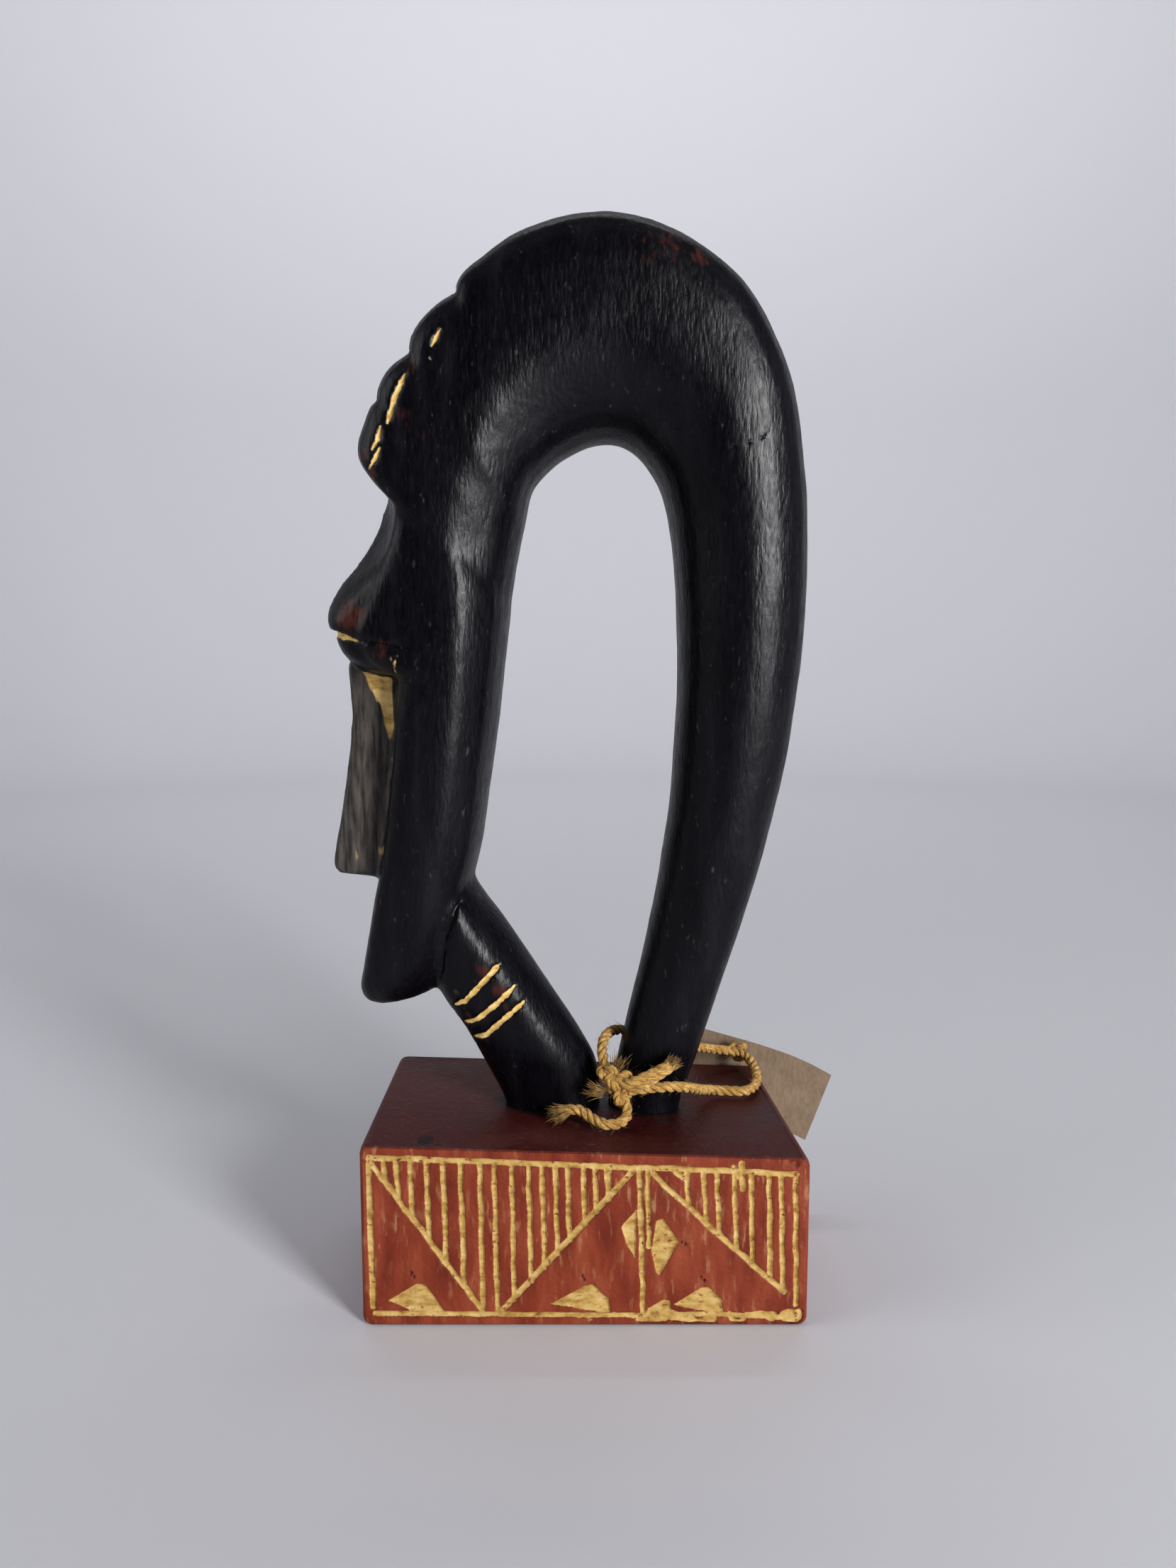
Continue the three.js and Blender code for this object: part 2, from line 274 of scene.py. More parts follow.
# The short tail lies doubled against a second strand of the knot.
second_strand = [
    (15.4, -19.2, 74.8), (20.6, -19.8, 77.2), (25.8, -18.6, 79.8), (30.4, -17, 82.4),
    (33.2, -15.8, 84.2),
]
doubled = smooth_line([Vector(p) * MM for p in second_strand], ply_step)
lay_plies(twine_mesh, doubled, twine_uv, turn=0.6, scale=0.9)
twine = piece_from(twine_mesh, "twine")


def knot_line(center, size, facing, steps=110):
    """The line of an overhand knot drawn up tight round center, in the plane across facing."""
    turn = Vector(facing).to_track_quat("Z", "Y").to_matrix()
    points = []
    for i in range(steps + 1):
        t = 2 * math.pi * i / steps
        across = math.sin(t) + 2 * math.sin(2 * t)
        up = math.cos(t) - 2 * math.cos(2 * t)
        points.append(center + turn @ Vector((across, up, -1.5 * math.sin(3 * t))) * size)
    return np.array(points)


# The main knot is four knots one on another: place from its middle, size, the way it faces,
# where the lay starts and how thick the plies are.
main_knot_turns = [
    ((0, 0, 0), 1.36, (0.25, -1, 0.25), 0.0, 0.92),
    ((-0.4, 1, -2.2), 1.14, (-0.4, -1, -0.2), 1.2, 0.86),
    ((-4.2, 0.6, 3.2), 0.95, (-0.5, -1, 0.3), 2.2, 0.8),
    ((0.8, -1.4, -5.4), 0.85, (0.5, -1, -0.5), 0.4, 0.78),
]
knots_mesh = bmesh.new()
knots_uv = knots_mesh.loops.layers.uv.new("ply")
for offset, size, facing, turn, scale in main_knot_turns:
    line = knot_line(main_knot_at + Vector(offset) * MM, size * MM, facing)
    lay_plies(knots_mesh, line, knots_uv, turn, scale=scale)
main_knot = piece_from(knots_mesh, "twine_knot")

tag_knot_mesh = bmesh.new()
tag_knot_uv = tag_knot_mesh.loops.layers.uv.new("ply")
lay_plies(tag_knot_mesh, knot_line(tag_knot_at, 0.98 * MM, (0.3, -1, 0.1)), tag_knot_uv, scale=0.78)
through_hole = smooth_line([
    tag_knot_at + Vector((0, 1.5, -1.4)) * MM,
    tag_hole_at + Vector((0, -1.5, 0)) * MM,
    tag_hole_at + Vector((0, 1.6, 0)) * MM,
], 0.6 * MM)
lay_plies(tag_knot_mesh, through_hole, tag_knot_uv, scale=0.7)
stopper = knot_line(tag_hole_at + Vector((0, 2.4, 0)) * MM, 0.62 * MM, (0, 1, 0), 70)
lay_plies(tag_knot_mesh, stopper, tag_knot_uv, scale=0.5)
tag_knot = piece_from(tag_knot_mesh, "tag_knot")

# Loose fibres along the twine, and the brushes of fibre at its two cut ends.
fuzz_seed = 7
loose_fibres = 430
fibre_floor = 0.0625
brush_floor = 0.0645
fuzz_random = random.Random(fuzz_seed)
fuzz_mesh = bmesh.new()
fuzz_uv = fuzz_mesh.loops.layers.uv.new("ply")


def random_direction():
    return Vector([fuzz_random.gauss(0, 1) for _ in range(3)]).normalized()


def add_fibre(start, direction, length, radius, bend):
    curl = random_direction() * bend
    droop = Vector((0, 0, -0.12 * bend))
    points = []
    for t in (0, 0.25, 0.5, 0.75, 1):
        points.append(start + direction * (length * t) + (curl + droop) * (length * t * t))
    radii = [radius, radius, radius * 0.9, radius * 0.7, radius * 0.3]
    add_tube(fuzz_mesh, np.array(points), radii, 3, fuzz_uv)


def fibre_radius():
    return fuzz_random.uniform(0.035, 0.07) * MM


twine_frames = frames_along(twine_route)
for _ in range(loose_fibres):
    i = fuzz_random.randrange(6, len(twine_route) - 6)
    tangent, normal, binormal = (Vector(v) for v in twine_frames[i])
    angle = fuzz_random.uniform(0, 2 * math.pi)
    outwards = math.cos(angle) * normal + math.sin(angle) * binormal
    start = Vector(twine_route[i]) + outwards * twine_diameter * 0.44
    length = fuzz_random.uniform(1.2, 4.2) * MM
    heading = outwards * fuzz_random.uniform(0.25, 0.9) + tangent * fuzz_random.choice((-1, 1))
    heading.normalize()
    if (start + heading * length * 1.3).z > fibre_floor:
        add_fibre(start, heading, length, fibre_radius(), 0.5)
# Tufts round the two knots: middle, reach and number of fibres.
for center, spread, count in ((main_knot_at, 5.2 * MM, 130), (tag_knot_at, 4 * MM, 60)):
    for _ in range(count):
        heading = random_direction()
        start = center + heading * spread * 0.8
        heading = (heading + random_direction() * 0.8).normalized()
        add_fibre(start, heading, fuzz_random.uniform(2, 5) * MM, fibre_radius(), 0.7)


def fray(line, from_end, count, reach, spread, fibre):
    """A cut end that has opened into a brush of fibres."""
    base = Vector(line[-1 - from_end])
    along = (Vector(line[-1]) - Vector(line[-1 - from_end])).normalized()
    for _ in range(count):
        aside = random_direction()
        aside = (aside - along * aside.dot(along)).normalized()
        out = fuzz_random.random() ** 0.6
        start = base + aside * out * 1.7 * MM
        heading = (along + aside * out * spread).normalized()
        length = fuzz_random.uniform(0.65, 1.0) * reach
        tip = start + heading * length
        if tip.z < brush_floor:
            heading.z += (brush_floor - tip.z) / length
        add_fibre(start, heading, length, fuzz_random.uniform(0.6, 1.2) * fibre, 0.22)


fray(twine_route[::-1], 5, 150, 9 * MM, 0.34, 0.16 * MM)
fray(twine_route, 3, 90, 5.2 * MM, 0.2, 0.17 * MM)
fray(doubled, 3, 70, 4.6 * MM, 0.22, 0.16 * MM)
# Stub ends of the plies that stick out of the knot, above it and to its left: where each
# starts, which way it points and how many fibres it has.
for start, aim, count in (
    ((10.6, -15.2, 80.5), (0.35, -0.1, 1), 46),
    ((6.6, -17.4, 73.4), (-1, -0.25, 0.42), 60),
):
    stub = np.array([Vector(start) * MM + Vector(aim).normalized() * t * MM for t in (0, 1, 2, 3)])
    fray(stub, 3, count, 8 * MM, 0.3, 0.15 * MM)
fuzz = piece_from(fuzz_mesh, "twine_fibres")

jute = new_material("jute", Roughness=0.85, Sheen_Weight=0.15)


def add_node(tree, kind, **settings):
    """Adds a node; a setting is one of its own, or, in capitals first, one of its inputs."""
    node = tree.nodes.new(kind)
    for key, value in settings.items():
        if key[0].isupper():
            node.inputs[key.replace("_", " ")].default_value = value
        else:
            setattr(node, key, value)
    return node


def join_up(start, end):
    start.id_data.links.new(start, end)


def tree_of(*values):
    """The node tree of the first socket among values."""
    return next(v for v in values if isinstance(v, bpy.types.NodeSocket)).id_data


def noise_on(vector, scale, stretch=(1, 1, 1), detail=4.0, seed=0.0):
    """A noise texture on the given coordinates, finer along the axes with more stretch."""
    tree = vector.id_data
    mapping = add_node(tree, "ShaderNodeMapping", Scale=stretch, Location=(seed, seed, seed))
    texture = add_node(tree, "ShaderNodeTexNoise", Scale=scale, Detail=detail)
    join_up(vector, mapping.inputs["Vector"])
    join_up(mapping.outputs["Vector"], texture.inputs["Vector"])
    return texture.outputs["Fac"]


def ramp(factor, stops):
    """A colour ramp; each stop is (position, colour), where a colour may be one grey."""
    node = add_node(factor.id_data, "ShaderNodeValToRGB")
    elements = node.color_ramp.elements
    while len(elements) < len(stops):
        elements.new(0.5)
    for element, (position, colour) in zip(elements, stops):
        element.position = position
        element.color = (colour,) * 3 + (1,) if isinstance(colour, float) else (*colour, 1)
    join_up(factor, node.inputs["Fac"])
    return node.outputs["Color"]


def blend_colours(factor, first, second, mode="MIX"):
    node = add_node(tree_of(factor, first, second), "ShaderNodeMix", data_type="RGBA", blend_type=mode)
    if isinstance(factor, float):
        node.inputs["Factor"].default_value = factor
    else:
        join_up(factor, node.inputs["Factor"])
    for name, colour in (("A", first), ("B", second)):
        socket = next(s for s in node.inputs if s.name == name and s.type == "RGBA")
        if isinstance(colour, tuple):
            socket.default_value = (*colour, 1)
        else:
            join_up(colour, socket)
    return next(s for s in node.outputs if s.type == "RGBA")


def arithmetic(operation, *values, clamp=False):
    node = add_node(tree_of(*values), "ShaderNodeMath", operation=operation, use_clamp=clamp)
    for socket, value in zip(node.inputs, values):
        if isinstance(value, (int, float)):
            socket.default_value = value
        else:
            join_up(value, socket)
    return node.outputs[0]


def bump_from(material, height, distance, strength=1.0):
    node = add_node(material.node_tree, "ShaderNodeBump", Strength=strength, Distance=distance)
    join_up(height, node.inputs["Height"])
    set_shader(material, "Normal", node.outputs["Normal"])


def place_on(material):
    """Coordinates that stay with the object, in metres."""
    return add_node(material.node_tree, "ShaderNodeTexCoord").outputs["Object"]


def kept_value(material, name):
    """A value that the mesh keeps on each vertex."""
    return add_node(material.node_tree, "ShaderNodeAttribute", attribute_name=name).outputs["Fac"]


def set_shader(material, socket, value):
    join_up(value, shader_of(material).inputs[socket])


jute_uv = add_node(jute.node_tree, "ShaderNodeUVMap", uv_map="ply").outputs["UV"]
fibre_streaks = noise_on(jute_uv, 6, (3.2, 90, 1), 5)
fibre_patches = noise_on(place_on(jute), 260, detail=3)
streak_colour = ramp(fibre_streaks, [
    (0.3, (0.2, 0.1, 0.02)),
    (0.5, (0.58, 0.355, 0.095)),
    (0.7, (0.92, 0.66, 0.28)),
])
patch_colour = ramp(fibre_patches, [(0.3, (0.66, 0.55, 0.4)), (0.7, (1.0, 1.0, 1.0))])
set_shader(jute, "Base Color", blend_colours(1.0, streak_colour, patch_colour, "MULTIPLY"))
bump_from(jute, fibre_streaks, 0.0005)
for piece in (twine, main_knot, tag_knot, fuzz):
    piece.data.materials.append(jute)
    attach(piece, "root")
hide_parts("twine_front_strand", "twine_back_strand", "twine_long_tail", "twine_short_tail")
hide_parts("twine_main_knot")
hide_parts("twine_tag_knot")


# ---- Painted block ----------------------------------------------------------------------
# A sawn block of pale wood, a little lower at the crest end and tapered there. It is
# painted brick red; triangles and rows of strokes are gouged in its front and filled with
# yellow paint. Its top has two mortises that hold the carving's feet.

block_low, block_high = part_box("painted_block")
block_length = (block_high.x - block_low.x) / MM
block_depth = (block_high.y - block_low.y) / MM
height_face_end = block_high.z / MM
height_crest_end = height_face_end - 4.5
end_taper = 7
edge_round = 1.6
corner_round = 2.4
outline_round = 3.2

gouge_depth = 0.8
# Strokes on the front, (x, z) to (x, z) from the middle of the bottom edge, with a half width.
top_line = [(-75, 61.2), (-40, 60), (17, 57.6), (45, 56.6), (72.5, 55.2)]
bottom_line = [(-73, 4.6), (-30, 4.3), (19, 3.8), (44, 4.2), (70, 3)]
strokes = []


def add_strokes(points, half_width):
    for start, end in zip(points, points[1:]):
        strokes.append((*start, *end, half_width))


def height_on(line, x):
    return float(np.interp(x, [p[0] for p in line], [p[1] for p in line]))


add_strokes(top_line, 1.1)
add_strokes(bottom_line, 1.0)
add_strokes([(-74.4, 58.4), (-73.6, 7)], 1.15)
left_valley = [(-74, 60), (-35.6, 5.5)]
right_valley = [(-29, 5.5), (16.5, 56.5)]
add_strokes(left_valley, 1.1)
add_strokes(right_valley, 1.1)
for x in (-69.1, -64.9, -60.1, -54.5, -48.8, -42.7, -36.1):
    foot = height_on(left_valley, x) if x < -37 else 5
    add_strokes([(x, height_on(top_line, x)), (x + 0.7, foot)], 1.0)
for x in (-31.2, -25.3, -19.4, -14.8, -10.3, -6.1, -0.8, 3.3, 7.3):
    foot = height_on(right_valley, x) if x > -29 else 5
    add_strokes([(x, height_on(top_line, x)), (x + 0.8, foot)], 0.95)
add_strokes([(18.6, 57), (20.2, 5)], 1.0)
add_strokes([(21.4, 57), (22, 29)], 0.9)
crest_valley = [(23.2, 55.5), (45, 34.5), (69, 12.5)]
add_strokes(crest_valley, 1.05)
for x in (34.7, 40.6, 45.2, 51.3, 56.9, 63.1, 67.3, 72.2):
    foot = height_on(crest_valley, x) if x < 69 else 8
    add_strokes([(x, height_on(top_line, x)), (x + 1, foot)], 0.95)
add_strokes([(53.6, 59), (54.2, 50)], 1.1)
add_strokes([(51, 58), (52.6, 54)], 0.8)
add_strokes([(8.4, 56), (8.2, 52)], 0.9)
add_strokes([(31, 56), (34, 53.6)], 1.0)
strokes = np.array(strokes)
# Leaf and triangle shapes scooped out whole, as outlines of (x, z).
scoops = [
    [(-68.6, 9.2), (-58.4, 15.6), (-55.2, 15.2), (-48.6, 5), (-60, 5.4)],
    [(-12.2, 8), (0, 14.8), (2.8, 15.4), (8.4, 10), (8.8, 4.6), (-2, 6.2)],
    [(30.6, 7.8), (40.4, 14.2), (43, 14.4), (47.6, 9), (47.8, 4.4), (39, 5.6)],
    [(18, 42.8), (13.4, 37.6), (12.4, 36), (14, 30), (17.4, 24.6)],
    [(24.6, 38.6), (26.8, 39.4), (32.4, 31), (26, 18.4), (24.6, 19.6), (22.8, 27.4)],
    [(20.6, 3.2), (22, 6.6), (27.4, 9.8), (29.6, 9.4), (30.4, 2.2)],
]
# Slips of the gouge that were left unpainted: (x, z, reach).
nicks = [
    (-60.4, 19.4, 0.9), (-59.4, 18, 0.6), (-1.2, 18.2, 0.9), (-0.4, 17, 0.6), (40, 18, 0.5),
    (41.2, 16.6, 0.7), (34.4, 30, 0.8), (33.2, 30.6, 0.6), (72.4, 59, 1.7), (70.6, 59.8, 1.2),
    (19.8, 30, 0.5),
]


def outline_reach(x, z, outline):
    """How far inside a closed outline each point lies, below 0 outside."""
    gap = np.full(x.shape, 99.0)
    inside = np.zeros(x.shape, bool)
    for (x0, z0), (x1, z1) in zip(outline, outline[1:] + outline[:1]):
        run = (x - x0) * (x1 - x0) + (z - z0) * (z1 - z0)
        share = np.clip(run / ((x1 - x0) ** 2 + (z1 - z0) ** 2), 0, 1)
        gap = np.minimum(gap, np.hypot(x - x0 - share * (x1 - x0), z - z0 - share * (z1 - z0)))
        crosses = (z0 > z) != (z1 > z)
        height = z1 - z0 if z1 != z0 else 1e-9
        inside ^= crosses & (x < (x1 - x0) * (z - z0) / height + x0)
    return np.where(inside, gap, -gap)


def stroke_reach(x, z):
    """How far inside the nearest stroke or scoop each point lies, in millimetres, below 0 outside."""
    reach = np.full(x.shape, -9.0)
    for x0, z0, x1, z1, half_width in strokes:
        length = math.hypot(x1 - x0, z1 - z0)
        share = np.clip(((x - x0) * (x1 - x0) + (z - z0) * (z1 - z0)) / length ** 2, 0, 1)
        gap = np.hypot(x - x0 - share * (x1 - x0), z - z0 - share * (z1 - z0))
        swell = 0.06 * np.sin(share * length * 0.4 + x0 * 3.1)
        swell = swell + 0.03 * np.sin(share * length * 1.3 + z0 + x1)
        reach = np.maximum(reach, half_width * (1 + swell) - gap)
    for outline in scoops:
        reach = np.maximum(reach, outline_reach(x, z, outline))
    return reach


def block_top(x):
    return height_face_end + (height_crest_end - height_face_end) * (x / block_length + 0.5)


bpy.ops.object.select_all(action="DESELECT")
front_columns, front_rows = 370, 150
bpy.ops.mesh.primitive_grid_add(x_subdivisions=front_columns, y_subdivisions=front_rows, size=1)
block = bpy.context.active_object
block.name = "block"
bpy.ops.object.mode_set(mode="EDIT")
bpy.ops.mesh.select_mode(type="EDGE")
# The grid is the front; its border is drawn back along the block in steps and closed behind.
depth_steps = [0.25, 0.8, 1.6, 3, 5, 8] + list(range(12, 84, 5)) + [84, 87, 88.4, 89.2, 89.75, 90]
block_bm = bmesh.from_edit_mesh(block.data)
station = block_bm.verts.layers.float.new("drawn_back")
for vert in block_bm.verts:
    vert[station] = 0
for depth in depth_steps:
    block_bm = bmesh.from_edit_mesh(block.data)
    station = block_bm.verts.layers.float.get("drawn_back")
    for edge in block_bm.edges:
        edge.select_set(len(edge.link_faces) == 1)
    bmesh.update_edit_mesh(block.data)
    bpy.ops.mesh.extrude_edges_move()
    block_bm = bmesh.from_edit_mesh(block.data)
    station = block_bm.verts.layers.float.get("drawn_back")
    for vert in block_bm.verts:
        if vert.select:
            vert[station] = depth
    bmesh.update_edit_mesh(block.data)
bpy.ops.mesh.edge_face_add()
bpy.ops.object.mode_set(mode="OBJECT")


def vertex_array(mesh, what="co"):
    """The mesh's points, or its normals on them, one to a row."""
    values = np.empty(len(mesh.vertices) * 3)
    if what == "co":
        mesh.vertices.foreach_get("co", values)
    else:
        mesh.vertex_normals.foreach_get("vector", values)
    return values.reshape(-1, 3)


def rounding(distance_in, radius):
    """How far a face has drawn in at a distance from the edge that a fillet rounds."""
    t = np.clip(1 - distance_in / radius, 0, 1)
    return radius * (1 - np.sqrt(np.maximum(0, 1 - t * t)))


grid = vertex_array(block.data)
back = np.array([d.value for d in block.data.attributes["drawn_back"].data])
from_end = np.minimum(back, block_depth - back)
draw_x = rounding(from_end, corner_round)
draw_z = rounding(from_end, edge_round)
across = grid[:, 0] * 2
up = grid[:, 1] + 0.5
half = block_length / 2 - draw_x
x = across * half
x = np.where(x > 0, x * (1 - (end_taper / (block_length / 2)) * back / block_depth), x)
top = block_top(x) - draw_z
# Corners of the front outline are worn round.
in_x = half - np.abs(across) * half
z = draw_z + up * (top - draw_z)
worn = rounding(in_x, outline_round)
z = np.where(up > 0.5, np.minimum(z, top - worn), np.maximum(z, draw_z + worn * 0.8))
y = -block_depth / 2 + back
# Slow, middling and quick unevenness of a hand-made thing, at each point.
slow, middling, quick = np.array([(
    noise.noise(Vector((a, b, c)) * 0.035),
    noise.noise(Vector((a + 300, b, c)) * 0.11),
    noise.noise(Vector((a, b + 90, c)) * 0.3),
) for a, b, c in zip(x, y, z)]).T
on_front = back < 0.1
strayed_x = x + 0.3 * middling + 0.18 * quick
strayed_z = z + 0.3 * middling + 0.18 * quick
reach = np.where(on_front, stroke_reach(strayed_x, strayed_z), -9.0)
# Along the foot of the right half the paint has run and the wood is torn.
torn = np.clip((x + 6) / 16, 0, 1) * np.clip(1.3 - np.abs(z - 3) / 3.6, 0, 1) * on_front
reach = np.maximum(reach, torn * (5.5 * quick + 1.5 * middling + 1.0) - (1 - torn) * 3)
sunk = np.clip((reach + 0.15) / 0.8, 0, 1)
cut = gouge_depth * sunk * sunk * (3 - 2 * sunk) * (0.9 + 0.25 * quick)
for nick_x, nick_z, nick_reach in nicks:
    cut = cut + on_front * 1.3 * np.clip(1 - np.hypot(x - nick_x, z - nick_z) / nick_reach, 0, 1)
y = y + np.where(on_front, cut + 0.12 * middling + 0.25, 0)
on_top = (z > top - 0.01) & (from_end > 1)
z = z - np.where(on_top, 0.2 + 0.25 * np.abs(slow), 0)
# The bottom edge of the front is hacked about.
ragged = np.clip(1.4 - z, 0, 1.4) * on_front
y = y + ragged * (0.3 + 0.5 * np.abs(middling))
block.data.vertices.foreach_set("co", (np.stack([x, y, z], axis=1) * MM).ravel())
paint = block.data.attributes.new("paint", "FLOAT", "POINT")
paint.data.foreach_set("value", reach)
block.data.attributes.remove(block.data.attributes["drawn_back"])
block.data.update()
turn_faces()
bpy.ops.object.shade_smooth_by_angle(angle=math.radians(40))

red_paint = new_material("painted_wood", Roughness=0.55, Specular_IOR_Level=0.25)
place = place_on(red_paint)
facing = add_node(red_paint.node_tree, "ShaderNodeSeparateXYZ")
surface = add_node(red_paint.node_tree, "ShaderNodeNewGeometry")
join_up(surface.outputs["Normal"], facing.inputs["Vector"])
upness = arithmetic("SMOOTH_MAX", facing.outputs["Z"], 0.0, 0.1)
streaks = noise_on(place, 150, (1, 1, 0.3), 6)
clouds = noise_on(place, 38, detail=5, seed=3.0)
pits = noise_on(place, 700, detail=3, seed=9.0)
front_red = ramp(streaks, [
    (0.3, (0.145, 0.024, 0.011)),
    (0.5, (0.21, 0.041, 0.018)),
    (0.75, (0.29, 0.074, 0.036)),
])
# Faces that look up take a darker, mottled copy of the front's red. The mottling is uneven paint; the
# darkness is painted shade.
shaded_top_red = ramp(clouds, [
    (0.3, (0.04, 0.006, 0.006)),
    (0.55, (0.07, 0.012, 0.01)),
    (0.8, (0.1, 0.03, 0.026)),
])
# The block's top gets the darker red because of the way it faces: painted shade.
red = blend_colours(arithmetic("MULTIPLY", upness, 1.0, clamp=True), front_red, shaded_top_red)
flecks = ramp(noise_on(place, 520, (1, 1, 0.22), 5, 5.0), [(0.57, 0.0), (0.67, 1.0)])
flecks = arithmetic("MULTIPLY", flecks, arithmetic("MULTIPLY_ADD", upness, -0.8, 1.0))
worn_patches = ramp(noise_on(place, 55, detail=4, seed=7.0), [(0.4, 0.08), (0.65, 0.6)])
red = blend_colours(arithmetic("MULTIPLY", flecks, worn_patches), red, (0.42, 0.24, 0.12))
# Dark stain pooled round the carving's two feet, and one drop of it near the top's corner.
for pool_x, pool_y, half_long, half_deep in (
    (-12.5, 0, 19, 12.5),
    (21.8, 0, 14.6, 10.8),
    (-55.6, -38, 2.6, 3.4),
):
    ring = add_node(red_paint.node_tree, "ShaderNodeMapping")
    ring.inputs["Location"].default_value = (-pool_x / half_long, -pool_y / half_deep, 0)
    ring.inputs["Scale"].default_value = (1 / (half_long * MM), 1 / (half_deep * MM), 0)
    join_up(place, ring.inputs["Vector"])
    radius = add_node(red_paint.node_tree, "ShaderNodeVectorMath", operation="LENGTH")
    join_up(ring.outputs["Vector"], radius.inputs[0])
    pool = arithmetic("MULTIPLY_ADD", radius.outputs["Value"], -7.0, 8.6)
    pool = arithmetic("ADD", pool, -1.9)
    blotches = noise_on(place, 210, detail=5, seed=pool_x)
    pool = arithmetic("MULTIPLY_ADD", blotches, 3.2, pool, clamp=True)
    pool = arithmetic("MULTIPLY", pool, arithmetic("MULTIPLY", upness, 0.85))
    red = blend_colours(pool, red, (0.012, 0.009, 0.01))
paint_attribute = kept_value(red_paint, "paint")
ragged_edge = arithmetic("MULTIPLY_ADD", noise_on(place, 900, detail=3, seed=1.0), 0.6, -0.33)
painted = arithmetic("ADD", paint_attribute, ragged_edge)
painted = arithmetic("MULTIPLY_ADD", painted, 4.0, 0.35, clamp=True)
chips = ramp(noise_on(place, 420, (1, 1, 1.6), 5, 12.0), [(0.3, 0.1), (0.4, 1.0)])
painted = arithmetic("MULTIPLY", painted, chips)
yellow = ramp(noise_on(place, 240, (1, 1, 2), 5, 6.0),
              [(0.3, (0.3, 0.175, 0.048)), (0.5, (0.47, 0.31, 0.1)), (0.75, (0.6, 0.44, 0.2))])
set_shader(red_paint, "Base Color", blend_colours(painted, red, yellow))
gloss = ramp(clouds, [(0.3, 0.42), (0.7, 0.62)])
gloss = blend_colours(painted, gloss, (0.75, 0.75, 0.75))
set_shader(red_paint, "Roughness", gloss)
relief = arithmetic("ADD", pits, arithmetic("MULTIPLY", streaks, 1.4))
bump_from(red_paint, relief, 0.0004, 0.7)
block.data.materials.append(red_paint)
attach(block, "root")
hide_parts("painted_block")


# ---- Carving ----------------------------------------------------------------------------
# Head, crest and neck are cut from one plank, stained black and waxed. The limbs are drawn
# ring by ring between an inner and an outer edge, the nose and the lids are set on, and the
# whole is fused into one skin before the grooves are gouged.

loop_section = [
    (0, 0), (0.012, 0.2), (0.04, 0.4), (0.085, 0.56), (0.15, 0.7), (0.23, 0.8), (0.33, 0.905),
    (0.43, 0.975), (0.52, 1), (0.62, 0.985), (0.72, 0.94), (0.82, 0.85), (0.905, 0.7),
    (0.965, 0.49), (0.995, 0.24), (1, 0),
]
head_section = [
    (0, 0), (0.012, 0.24), (0.055, 0.5), (0.115, 0.69), (0.17, 0.775), (0.25, 0.865),
    (0.335, 0.945), (0.405, 0.985), (0.5, 1), (0.64, 0.995), (0.78, 0.98), (0.885, 0.945),
    (0.95, 0.87), (0.99, 0.71), (1, 0.42), (1.005, 0),
]
neck_section = [
    (0, 0), (0, 0.22), (0.012, 0.42), (0.05, 0.62), (0.12, 0.8), (0.24, 0.9), (0.4, 0.965),
    (0.56, 1), (0.66, 0.985), (0.75, 0.9), (0.84, 0.72), (0.915, 0.52), (0.965, 0.33), (0.99, 0.16),
    (1, 0.06), (1.002, 0),
]
# Inner edge x, z, outer edge x, z, half depth, and how much the section is the head's.
crest_rings = [
    (8.5, 58, 34.8, 58, 9.5, 0), (8.8, 66, 35.8, 64, 9.8, 0), (12.2, 83, 41.3, 81, 11.5, 0),
    (19.5, 114, 52.3, 115.5, 15, 0), (26.7, 150, 63.2, 152, 19, 0), (31.6, 186, 71.5, 187, 22.5, 0),
    (33.2, 222, 76.8, 223, 25.5, 0), (32.4, 256, 79, 258, 27.5, 0), (29.3, 281, 77.4, 295, 29, 0.1),
    (24, 295, 69.5, 332.5, 30, 0.3), (15, 304.5, 49.5, 362.8, 30, 0.5),
    (3, 305.8, 13, 380.2, 30, 0.6), (-9, 300, -20.5, 374.6, 30, 0.7),
    (-16, 293.5, -35, 365, 30, 0.8), (-18.2, 290.8, -41.4, 359.4, 30, 0.9),
    (-18.8, 289.7, -43.4, 355.6, 30, 0.9), (-19, 289.2, -43.5, 352.6, 30, 0.9),
    (-19.4, 288.2, -46.6, 351.6, 30, 0.9), (-20.6, 283.8, -54.6, 344.8, 30, 1),
    (-21.4, 280, -58.6, 338.6, 30, 1), (-21.8, 278, -59.3, 335.4, 30, 1),
    (-22, 277, -59.5, 332.6, 29.8, 1), (-22.3, 275.6, -62.2, 331.6, 29.7, 1),
    (-23, 272, -67.6, 326.8, 29.5, 1), (-23.7, 268, -70.4, 321.2, 29.4, 1),
    (-24, 266, -70.9, 317.8, 29.3, 1), (-24.3, 264.6, -72.8, 316.2, 29.3, 1),
    (-24.8, 261.5, -75.2, 311, 29.2, 1), (-25.4, 257.5, -77.7, 303.6, 29, 1),
    (-26, 254, -77.4, 298.4, 28.8, 1), (-26.6, 250, -72.6, 291, 28.6, 1),
    (-27, 246, -66.8, 284.2, 28.5, 1), (-28, 238, -64.4, 272, 28.3, 1),
    (-29.8, 222, -63.6, 249, 28, 1), (-31.5, 208, -65.2, 222, 27.6, 1),
    (-35, 183, -68.4, 190, 26.6, 1), (-38, 163.5, -72, 163, 25.4, 1), (-42, 148, -76.4, 141, 24, 1),
    (-46.4, 132, -80.4, 121, 22, 0.9), (-50, 120, -82.5, 111, 19.6, 0.7),
    (-53, 112.8, -80.6, 106, 16.6, 0.5), (-55.5, 109.3, -76.6, 104.2, 13.4, 0.3),
]
